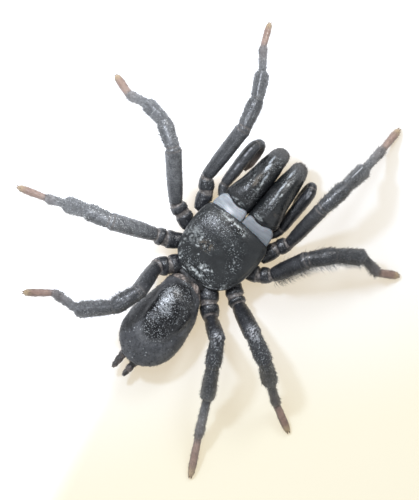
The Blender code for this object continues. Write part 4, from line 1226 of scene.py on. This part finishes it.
class Coat:
    """Hairs gathered from several skins into one mesh. Each tuft keeps its root's place on a flat map."""

    def __init__(self, skins):
        self.tiles = max(1, math.ceil(math.sqrt(skins)))
        self.used = 0
        self.parts = []

    def grow(self, skin, weight, tufts, length, lean=0.72, spread=0.22, radius=0.0085, hairs=2, curl=0.25):
        """Plants tufts at random, thicker where the weight is greater. Points may differ in length."""
        shape = rows, columns = skin.points.shape[:2]
        chance = np.broadcast_to(weight, shape) * skin.area
        picked = draw.choice(rows * columns, size=tufts, p=chance.ravel() / chance.sum())
        row, column = at = np.divmod(picked, columns)
        normal, flow = skin.normal[at], skin.flow[at]
        root = skin.points[at] + flow * draw.uniform(-0.02, 0.02, (tufts, 1))
        length = np.broadcast_to(length, shape)[at] * draw.uniform(0.65, 1.15, tufts)
        foot, painted_glare = (
            np.repeat(np.broadcast_to(skin.values.get(key, 0.0), shape)[at][:, None], HAIR_CORNERS, axis=1)
            for key in ("foot", "painted_glare")
        )
        tile = np.array(divmod(self.used, self.tiles)) / self.tiles
        self.used += 1
        spot = tile + np.column_stack([row / rows, column / columns]) * TILE_FILL / self.tiles
        for _ in range(hairs):
            aim = unit(flow * lean + normal * math.sqrt(1 - lean**2) + draw.normal(0, spread, (tufts, 3)))
            tip_aim = unit(aim + flow * curl - normal * curl * 0.4)
            side = unit(np.cross(aim, normal + draw.normal(0, 0.1, (tufts, 3))))
            start = root + draw.normal(0, 0.012, (tufts, 3)) - normal * 0.02
            middle = start + aim * (length * 0.5)[:, None]
            tip = middle + tip_aim * (length * 0.5)[:, None]
            thick = radius * draw.uniform(0.8, 1.2, (tufts, 1, 1))
            ring = ring_round(side, np.cross(side, aim), full_turn(3)) * thick
            points = [start[:, None] + ring, middle[:, None] + ring * 0.7, tip[:, None]]
            shade = np.repeat(draw.uniform(0, 1, tufts)[:, None], HAIR_CORNERS, axis=1)
            self.parts.append((np.concatenate(points, axis=1), foot, shade, spot, painted_glare))

    def finish(self, name, material, slot):
        points, foot, shade, spot, painted_glare = (np.concatenate(list(kind)) for kind in zip(*self.parts))
        points[..., 2] = np.maximum(points[..., 2], LEAST_UP)
        base = np.arange(len(points))[:, None, None] * HAIR_CORNERS
        quads = (base + np.array(HAIR_QUADS)[None]).reshape(-1, 4)
        triangles = (base + np.array(HAIR_TRIANGLES)[None]).reshape(-1, 3)
        flat = points.reshape(-1, 3)
        if volume_of(flat, quads, triangles) < 0:
            quads, triangles = quads[:, ::-1], triangles[:, ::-1]
        mesh = mesh_of(name, flat, quads, triangles, {"foot": foot, "shade": shade, "painted_glare": painted_glare})
        where = (spot[:, None] + np.array(HAIR_PATCH)[None] * PATCH_STEP + PATCH_MARGIN).reshape(-1, 2)
        corner = np.zeros(len(mesh.loops), np.int32)
        mesh.loops.foreach_get("vertex_index", corner)
        layer = mesh.uv_layers.new(name="OFBake")
        layer.data.foreach_set("uv", where[corner].astype(np.float32).ravel())
        add_piece(name, mesh, material, slot)


SIDES = ((1, "left"), (-1, "right"))


def eye_meshes():
    """Four eyes on each side, sunk a little into the mound."""
    for side, _ in SIDES:
        for left, fore, radius in EYES:
            up = MOUND_UP - MOUND_SINK + float(mound_height(left, fore)) - radius * EYE_SINK_SHARE
            yield closed_mesh("eye", ball_skin(side * left, MOUND_FORE + fore, up, (radius,) * 3, 24, 32))


def make_body():
    shell = shell_look(
        "shell_black", (0.0095, 0.0108, 0.0118), (0.0230, 0.0260, 0.0270), 0.30, 0.42, 0.008, True, 0.12
    )
    plate = shell_look("plate_black", (0.0080, 0.0085, 0.0095), (0.0190, 0.0200, 0.0210), 0.20, 0.32)
    jaw = shell_look(
        "jaw_black", (0.0085, 0.0098, 0.0110), (0.0230, 0.0240, 0.0250), 0.24, 0.36, 0.009, True, 0.18
    )
    flank = soft_look("flank_skin", (0.008, 0.008, 0.008), (0.026, 0.023, 0.023), 0.45)
    waist = soft_look("waist_skin", (0.055, 0.036, 0.032), (0.190, 0.140, 0.125), 0.38)
    horn = horn_look("fang_horn", (0.030, 0.008, 0.006), (0.110, 0.030, 0.018))
    leather = abdomen_look("abdomen_leather")
    skins = {"carapace": carapace_skin(), "abdomen": abdomen_skin(), "spinnerets": spinneret_skins()}
    add_skin("back_shield", skins["carapace"], shell, "black_shell", "carapace")
    add_skin("breastplate", sternum_skin(), plate, "black_shell", "sternum")
    add_skin("flank", girdle_skin(), flank, "black_leg")
    add_skin("waist", pedicel_skin(), waist, "waist_brown", "pedicel")
    add_skin("eye_mound", mound_skin(), shell, "eye_black", "eye_group")
    add_piece("eyes", joined("eyes", list(eye_meshes())), glass_look("eye_glass"), "eye_black")
    add_skin("jaw_fold", fold_skin(), fold_look("fold_satin"), "membrane_grey", "cheliceral_membrane")
    for side, name in SIDES:
        skins["jaw_" + name] = chelicera_skin(side, name)
        add_skin("jaw_" + name, skins["jaw_" + name], jaw, "black_shell", "chelicera_" + name)
        fang = bezier_tube(mirrored(FANG_PATH, side), FANG_PROFILE, 70, 28)
        add_skin("fang_horn_" + name, fang, horn, "fang_brown", "fang_" + name)
    add_skin("hind_body", skins["abdomen"], leather, "abdomen_black", "abdomen")
    mesh = joined("spinnerets", [closed_mesh("spinneret", skin) for skin in skins["spinnerets"]])
    add_piece("spinnerets", mesh, leather, "abdomen_black", "spinneret_left", "spinneret_right")
    return skins


def claw_meshes(joints):
    """Two curved claws on the tip of a foot."""
    tip, behind = np.array(joints[-1]), np.array(joints[-2])
    ahead = (tip - behind) * (1, 1, 0)
    ahead = ahead / np.linalg.norm(ahead)
    across = np.array((-ahead[1], ahead[0], 0))
    meshes = []
    for side, _ in SIDES:
        root = tip + across * CLAW_SPREAD * side - ahead * CLAW_REACH / 2 + UP * 0.08
        bend = root + ahead * CLAW_REACH * 0.8 + UP * 0.06
        end = root + ahead * CLAW_REACH - UP * 0.14
        claw = bezier_tube([root, bend, end], CLAW_PROFILE, 16, 10)
        claw.points[..., 2] = np.maximum(claw.points[..., 2], LEAST_UP)
        meshes.append(closed_mesh("claw", claw))
    return meshes


PALP_BROWN = {"left": 0.60, "right": 0.0}
# The painted highlight streak along each palp: how far round from the top, where it begins and ends,
# strength
PALP_PAINTED_STREAK = {"left": (0.15, 3.9, 6.0, 0.75), "right": (-0.10, 5.5, 6.4, 0.8)}


def nodes_of(limb, *parts):
    return ["%s_%s" % (limb, part) for part in parts]


def make_limbs():
    chitin = leg_look("limb_black")
    limbs, claws = {}, []
    for name, joints in LEG_JOINTS.items():
        limbs[name] = leg_skin(name, joints, LEG_GIRTH[name])
        nodes = nodes_of("leg_" + name, "coxa", "femur", "tibia", "foot")
        add_skin("leg_skin_" + name, limbs[name], chitin, "black_leg", *nodes)
        claws += claw_meshes(joints)
    claw_horn = horn_look("claw_horn", (0.080, 0.035, 0.022), (0.200, 0.110, 0.060))
    add_piece("claws", joined("claws", claws), claw_horn, "foot_brown")
    for side, name in SIDES:
        palp = "palp_" + name
        limbs[palp] = palp_skin(PALP_PATHS[name], PALP_BROWN[name], PALP_PAINTED_STREAK[name])
        lobe = bezier_tube(mirrored(MAXILLA_LOBE, side), MAXILLA_LOBE_PROFILE, 30, 24)
        lobe.values = dict.fromkeys(limbs[palp].values, 0.0)
        mesh = joined("palp_skin_" + name, [closed_mesh("palp", limbs[palp]), closed_mesh("lobe", lobe)])
        add_piece("palp_skin_" + name, mesh, chitin, "black_leg", *nodes_of(palp, "coxa", "femur", "tip"))
    return limbs


# Hairs on each leg segment: how thick they stand and how long they are, from the inner coxa to the foot
HAIR_WEIGHT = (0.1, 0.25, 0.35, 0.35, 1.0, 1.1, 1.2, 1.0)
HAIR_LENGTH = (0.08, 0.10, 0.12, 0.13, 0.19, 0.21, 0.20, 0.12)
# How many tufts stand on each leg and other part
TUFTS = {
    "leg": 1500, "palp": 600, "abdomen": 5200, "spinneret": 260, "jaw": 500, "jaw tip": 1300, "shield": 500,
}
# The long bristles of each leg where they differ from the rest, and the side that they stand to
BRISTLE_LENGTH = {"right_2": 0.66, "left_4": 0.42, "left_2": 0.32, "right_1": 0.26, "left_1": 0.24}
BRISTLE_SIDE = {"right_2": 2.7, "left_4": 2.6, "left_2": -2.0}
BRISTLES = {"right_2": 900, "left_4": 420, "left_2": 360}
BRISTLE_SEGMENTS = {"right_2": (3, 4, 5, 6)}
PLAIN_BRISTLES = {"length": 0.26, "side": 0, "count": 260, "segments": (4, 5, 6)}
JAW_TIP_BRISTLES = {"left": 90, "right": 170}


def grow_leg(coat, name, skin):
    """The short hair of one leg, and its longer bristles, which stand off the outer segments."""
    hard = 1 - skin.values["soft"]
    weight = np.array(HAIR_WEIGHT)[skin.segment][:, None] * (1 - 0.9 * skin.values["soft"])
    weight = weight * (1 - 0.85 * skin.values["painted_streak"])
    length = np.array(HAIR_LENGTH)[skin.segment][:, None]
    coat.grow(skin, weight, TUFTS["leg"], length, lean=0.78, radius=0.008)
    side = BRISTLE_SIDE.get(name, PLAIN_BRISTLES["side"])
    far = np.isin(skin.segment, BRISTLE_SEGMENTS.get(name, PLAIN_BRISTLES["segments"]))[:, None] * hard
    low = far * (1.05 - np.sin(skin.turn - 0.5 * side))[None] ** 2
    reach = BRISTLE_LENGTH.get(name, PLAIN_BRISTLES["length"])
    reach = reach * np.interp(skin.segment, (4, 5, 6), (1.0, 0.75, 0.5))[:, None]
    coat.grow(skin, low, BRISTLES.get(name, PLAIN_BRISTLES["count"]), reach, lean=0.35, hairs=1, curl=0.5)


def make_coats(body, limbs):
    hair = hair_look("hair")
    for _, side in SIDES:
        names = [name for name in limbs if side in name]
        coat = Coat(2 * len(names))
        for name in names:
            if name.startswith("palp"):
                coat.grow(limbs[name], 1.0, TUFTS["palp"], 0.12, radius=0.007)
            else:
                grow_leg(coat, name, limbs[name])
        coat.finish("coat_legs_" + side, hair, "black_leg")
    coat = Coat(8)
    off_plate = 1 - 0.8 * body["abdomen"].values["scutum"]
    coat.grow(body["abdomen"], off_plate, TUFTS["abdomen"], 0.13, lean=0.8, radius=0.007)
    for skin in body["spinnerets"]:
        coat.grow(skin, 1.0, TUFTS["spinneret"], 0.11, radius=0.007)
    coat.finish("coat_hind_body", hair, "abdomen_black")
    coat = Coat(4)
    for _, side in SIDES:
        skin = body["jaw_" + side]
        tip = rise(skin.fore, 6.3, 0.8)
        crest = skin.values["crest"] * 0.5 + 0.05
        coat.grow(skin, crest, TUFTS["jaw"], 0.11, lean=0.8, radius=0.006)
        length = 0.10 + 0.02 * tip
        coat.grow(skin, tip + 0.002, TUFTS["jaw tip"], length, lean=0.6, spread=0.3, radius=0.006)
        coat.grow(skin, tip**3 + 0.0001, JAW_TIP_BRISTLES[side], 0.24, lean=0.6, radius=0.007, hairs=1)
    coat.grow(body["carapace"], 1.0, TUFTS["shield"], 0.06, lean=0.85, radius=0.006)
    coat.finish("coat_front_body", hair, "black_shell")


FLOOR_REACH = 0.40
# Which way the picture's right and top point in the frame, and how its pixels lie on the floor
SCREEN_RIGHT = np.array((-0.7694, -0.6388, 0.0))
SCREEN_UP = np.array((0.6388, -0.7694, 0.0))
PIXELS_PER_MM = 16.0
PICTURE_HEIGHT = 500
PICTURE_MIDDLE = (209.5, 250.0)
CARAPACE_AT = (219.8, 248.3)
CAMERA_HEIGHT = 1.0
SENSOR_MM = 36.0
KEY_ELEVATION = 58


def make_floor():
    mesh = bpy.data.meshes.new("floor")
    corners = [(x * FLOOR_REACH, y * FLOOR_REACH, 0) for x, y in ((-1, -1), (1, -1), (1, 1), (-1, 1))]
    mesh.from_pydata(corners, [], [(0, 1, 2, 3)])
    floor = put("floor", mesh)
    look = Look("floor_pale")
    across, back, _ = look.node("ShaderNodeSeparateXYZ", {0: look.place}).outputs
    # Painted falloff: the floor's own colour turns darker and creamier towards the spider's rear right
    toward = look.maths("SUBTRACT", look.times(back, 0.6), look.times(across, 0.8))
    painted_falloff = look.ramp(toward, 4 * MM, 14 * MM)
    look.set(Base_Color=look.mix(painted_falloff, (0.36, 0.43, 0.52), (0.34, 0.385, 0.365)))
    # The floor glows as painted light: bright white towards the spider's left, where it washes out shadows,
    # and a warm cream elsewhere that lightens them
    slanted = look.maths("ADD", across, look.times(back, 0.25))
    ahead = look.maths("SUBTRACT", across, look.times(back, 0.6))
    glare = look.most(look.ramp(across, 2.6 * MM, 5.2 * MM), look.ramp(slanted, 1.0 * MM, 4.4 * MM))
    glare = look.most(glare, look.ramp(ahead, 2.6 * MM, 5.0 * MM))
    glow = look.mix(glare, (0.59, 0.475, 0.305), (1.15, 1.10, 1.05))
    look.set(Emission_Color=glow, Emission_Strength=1.0)
    look.set(Roughness=0.75, Specular_IOR_Level=0.2)
    mesh.materials.append(look.material)


def make_camera():
    """Straight above, with the head towards the upper right."""
    data = bpy.data.cameras.new("camera")
    camera = put("camera", data)
    right, down = np.subtract(PICTURE_MIDDLE, CARAPACE_AT)
    middle = place(0.0, 0.0, 0.0) + (SCREEN_RIGHT * right - SCREEN_UP * down) / PIXELS_PER_MM
    turn = Matrix((SCREEN_RIGHT, SCREEN_UP, UP)).transposed().to_4x4()
    camera.matrix_world = Matrix.Translation(Vector(middle) * MM + Vector((0, 0, CAMERA_HEIGHT))) @ turn
    data.sensor_width = SENSOR_MM
    data.lens = SENSOR_MM * CAMERA_HEIGHT / (PICTURE_HEIGHT / PIXELS_PER_MM * MM)
    data.clip_start = 0.01
    bpy.context.scene.camera = camera


def aim_light(name, where, radius, brightness, colour):
    """A round lamp, placed in millimetres and aimed at the middle, as bright as it makes a white floor."""
    data = bpy.data.lights.new(name, "AREA")
    data.shape = "DISK"
    data.size = 2 * radius * MM
    distance = np.linalg.norm(where)
    data.energy = brightness * math.pi**2 * (distance * MM) ** 2 / (where[2] / distance)
    data.color = colour
    lamp = put(name, data)
    spot = Vector(where) * MM
    lamp.matrix_world = Matrix.Translation(spot) @ (-spot).to_track_quat("-Z", "Y").to_matrix().to_4x4()


def make_lights():
    """Three lamps and a broad panel, and a room that is dark straight overhead."""
    elevation = math.radians(KEY_ELEVATION)
    toward = np.array((1.0, -0.09, 0.0))
    key = (toward * math.cos(elevation) + UP * math.sin(elevation)) * 60
    for lamp in (
        ("key", key, 3.4, 0.52, (0.82, 0.88, 1.0)),
        ("panel", (42.0, -24.0, 74.0), 24.0, 0.14, (0.97, 0.98, 1.0)),
        ("front", (20.0, -72.0, 66.0), 13.0, 0.22, (1.0, 0.99, 0.97)),
        ("spot", (17.0, -6.0, 88.0), 5.0, 0.06, (1.0, 1.0, 1.0)),
    ):
        aim_light(*lamp)
    world = bpy.data.worlds.new("room")
    world.use_nodes = True
    tree = world.node_tree
    where = tree.nodes.new("ShaderNodeTexCoord")
    split = tree.nodes.new("ShaderNodeSeparateXYZ")
    fade = tree.nodes.new("ShaderNodeMapRange")
    fade.interpolation_type = "SMOOTHSTEP"
    for index, value in enumerate((0.72, 0.97, 0.85, 0.20), start=1):
        fade.inputs[index].default_value = value
    tree.links.new(where.outputs["Generated"], split.inputs[0])
    tree.links.new(split.outputs["Z"], fade.inputs["Value"])
    background = tree.nodes["Background"]
    background.inputs["Color"].default_value = (0.93, 0.965, 1.0, 1.0)
    tree.links.new(fade.outputs["Result"], background.inputs["Strength"])
    bpy.context.scene.world = world
    bpy.context.scene.view_settings.view_transform = "Standard"


make_camera()
make_floor()
make_lights()
body_skins = make_body()
limb_skins = make_limbs()
make_coats(body_skins, limb_skins)
